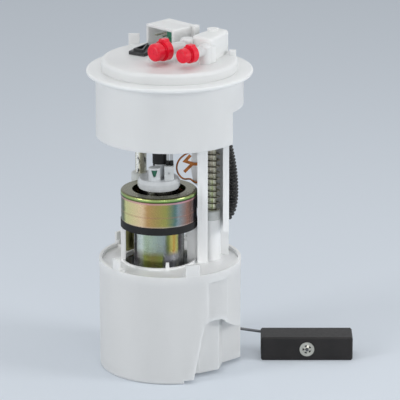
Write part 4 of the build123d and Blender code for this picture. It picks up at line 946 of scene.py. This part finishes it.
SOFTBOXES = (Softbox("left_softbox", (-1.25, -0.75, 0.45), (0, 0, -0.1), 0.45, 0.8, 7.0),
             Softbox("right_softbox", (1.35, -0.45, 0.35), (0, 0, -0.1), 0.5, 0.8, 8.4),
             Softbox("front_softbox", (-0.75, -1.15, 0.1), (0.02, 0, -0.1), 0.5, 0.5, 1.5),
             Softbox("column_softbox", (0.35, -1.3, 0.05), (0.03, 0, -0.06), 0.3, 0.3, 1.3),
             Softbox("top_softbox", (0.1, 0.1, 1.0), (0, 0, -0.05), 0.8, 0.8, 2.8))
SKY = "#EEF1F4"
SKY_LIGHT = 0.46         # strength of the sky where it lights the pieces
FLOOR_HALF = 30.0
FLOOR_SHADE = 0.88       # share of its colour that the paper throws back
FLOOR_LIFT = 0.15        # how much paler than its lit colour it looks
CAMERA_PLACE = (0.0233, -2.5, 0.6618)
CAMERA_TILT = 73         # degrees up from straight down
CAMERA_LENS = 303.6      # millimetres, over a sensor that is CAMERA_SENSOR wide
CAMERA_SENSOR = 36.0


def straight_ray(tree, low, high):
    """One value for light that falls on the pieces, another for what shows, straight or in a mirror."""
    path = add(tree, "ShaderNodeLightPath")
    shown = add(tree, "ShaderNodeMath",
                {0: path.outputs["Is Camera Ray"], 1: path.outputs["Is Glossy Ray"]}, operation="MAXIMUM")
    shown = add(tree, "ShaderNodeMath",
                {0: shown, 1: path.outputs["Is Transmission Ray"]}, operation="MAXIMUM")
    made = add(tree, "ShaderNodeMapRange", {"To Min": low, "To Max": high, "Value": shown})
    return made.outputs["Result"]


class FPM_OT_stage(bpy.types.Operator):
    """Floor, backdrop, lights and camera"""
    bl_idname = "fpm.stage"
    bl_label = "Stage"

    def execute(self, context):
        scene = context.scene
        scene.view_settings.view_transform = "Standard"
        self.lay_floor(scene)
        self.light_sky(scene)
        for softbox in SOFTBOXES:
            self.hang(scene, softbox)
        self.set_camera(scene)
        return {"FINISHED"}

    def lay_floor(self, scene):
        """Wide sheet of pale, matt paper under the lowest point of the solids."""
        paper = scene.fpm_finish.floor
        tree, shader = blank("pale_paper", dimmed(paper, FLOOR_SHADE), roughness=0.9)
        shader.inputs["Specular IOR Level"].default_value = 0.0
        shader.inputs["Emission Color"].default_value = paper
        tree.links.new(straight_ray(tree, low=0.0, high=FLOOR_LIFT), shader.inputs["Emission Strength"])
        work = bmesh.new()
        bmesh.ops.create_grid(work, x_segments=1, y_segments=1, size=FLOOR_HALF)
        mesh = bpy.data.meshes.new("floor")
        work.to_mesh(mesh)
        work.free()
        mesh.transform(Matrix.Translation((0, 0, cad_box[0][2])))
        mesh.materials.append(stock("pale_paper"))
        floor = bpy.data.objects.new("floor", mesh)
        scene.collection.objects.link(floor)

    def light_sky(self, scene):
        """Even pale sky, weaker as a light than it looks."""
        world = bpy.data.worlds.new("studio")
        scene.world = world
        world.use_nodes = True
        sky = world.node_tree.nodes["Background"]
        sky.inputs["Color"].default_value = linear(SKY)
        strength = straight_ray(world.node_tree, low=SKY_LIGHT, high=1.0)
        world.node_tree.links.new(strength, sky.inputs["Strength"])

    def hang(self, scene, softbox):
        """Area lamp turned towards its aim."""
        lamp = bpy.data.lights.new(softbox.name, "AREA")
        lamp.shape = "RECTANGLE"
        lamp.size, lamp.size_y, lamp.energy = softbox.width, softbox.height, softbox.watts
        holder = bpy.data.objects.new(softbox.name, lamp)
        holder.location = softbox.place
        ahead = Vector(softbox.aim) - Vector(softbox.place)
        holder.rotation_euler = ahead.to_track_quat("-Z", "Y").to_euler()
        scene.collection.objects.link(holder)

    def set_camera(self, scene):
        """Long lens from the front and a little above."""
        lens = bpy.data.cameras.new("camera")
        lens.lens, lens.sensor_width = CAMERA_LENS, CAMERA_SENSOR
        lens.clip_end = 3 * FLOOR_HALF
        camera = bpy.data.objects.new("camera", lens)
        camera.location = CAMERA_PLACE
        camera.rotation_euler = (math.radians(CAMERA_TILT), 0, 0)
        scene.collection.objects.link(camera)
        scene.camera = camera


# ---------------------------------------------------------------- panel and registration
class FPM_PT_panel(bpy.types.Panel):
    """Lists the steps that build the fuel pump module"""
    bl_idname = "FPM_PT_panel"
    bl_label = "Fuel Pump Module"
    bl_space_type = "VIEW_3D"
    bl_region_type = "UI"
    bl_category = "Fuel Pump"

    def draw(self, context):
        for settings in (context.scene.fpm_finish, context.scene.fpm_sizes):
            box = self.layout.box()
            for key in settings.bl_rna.properties.keys():
                if key not in ("rna_type", "name"):
                    box.prop(settings, key)
        for step in STEPS:
            self.layout.operator(step.bl_idname)


STEPS = (FPM_OT_finishes, FPM_OT_mouldings, FPM_OT_pump, FPM_OT_spring, FPM_OT_hoses, FPM_OT_leads,
         FPM_OT_straps, FPM_OT_sender, FPM_OT_stage)


def register():
    """Makes the settings, the steps and the panel known."""
    for kind in (FPM_Finish, FPM_Sizes) + STEPS + (FPM_PT_panel,):
        bpy.utils.register_class(kind)
    bpy.types.Scene.fpm_finish = PointerProperty(type=FPM_Finish)
    bpy.types.Scene.fpm_sizes = PointerProperty(type=FPM_Sizes)


def unregister():
    """Takes them away again, last first."""
    del bpy.types.Scene.fpm_sizes
    del bpy.types.Scene.fpm_finish
    for kind in (FPM_PT_panel,) + STEPS[::-1] + (FPM_Sizes, FPM_Finish):
        bpy.utils.unregister_class(kind)


def main():
    """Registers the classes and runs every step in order."""
    register()
    for step in STEPS:
        group, action = step.bl_idname.split(".")
        getattr(getattr(bpy.ops, group), action)()


if __name__ == "__main__":
    main()
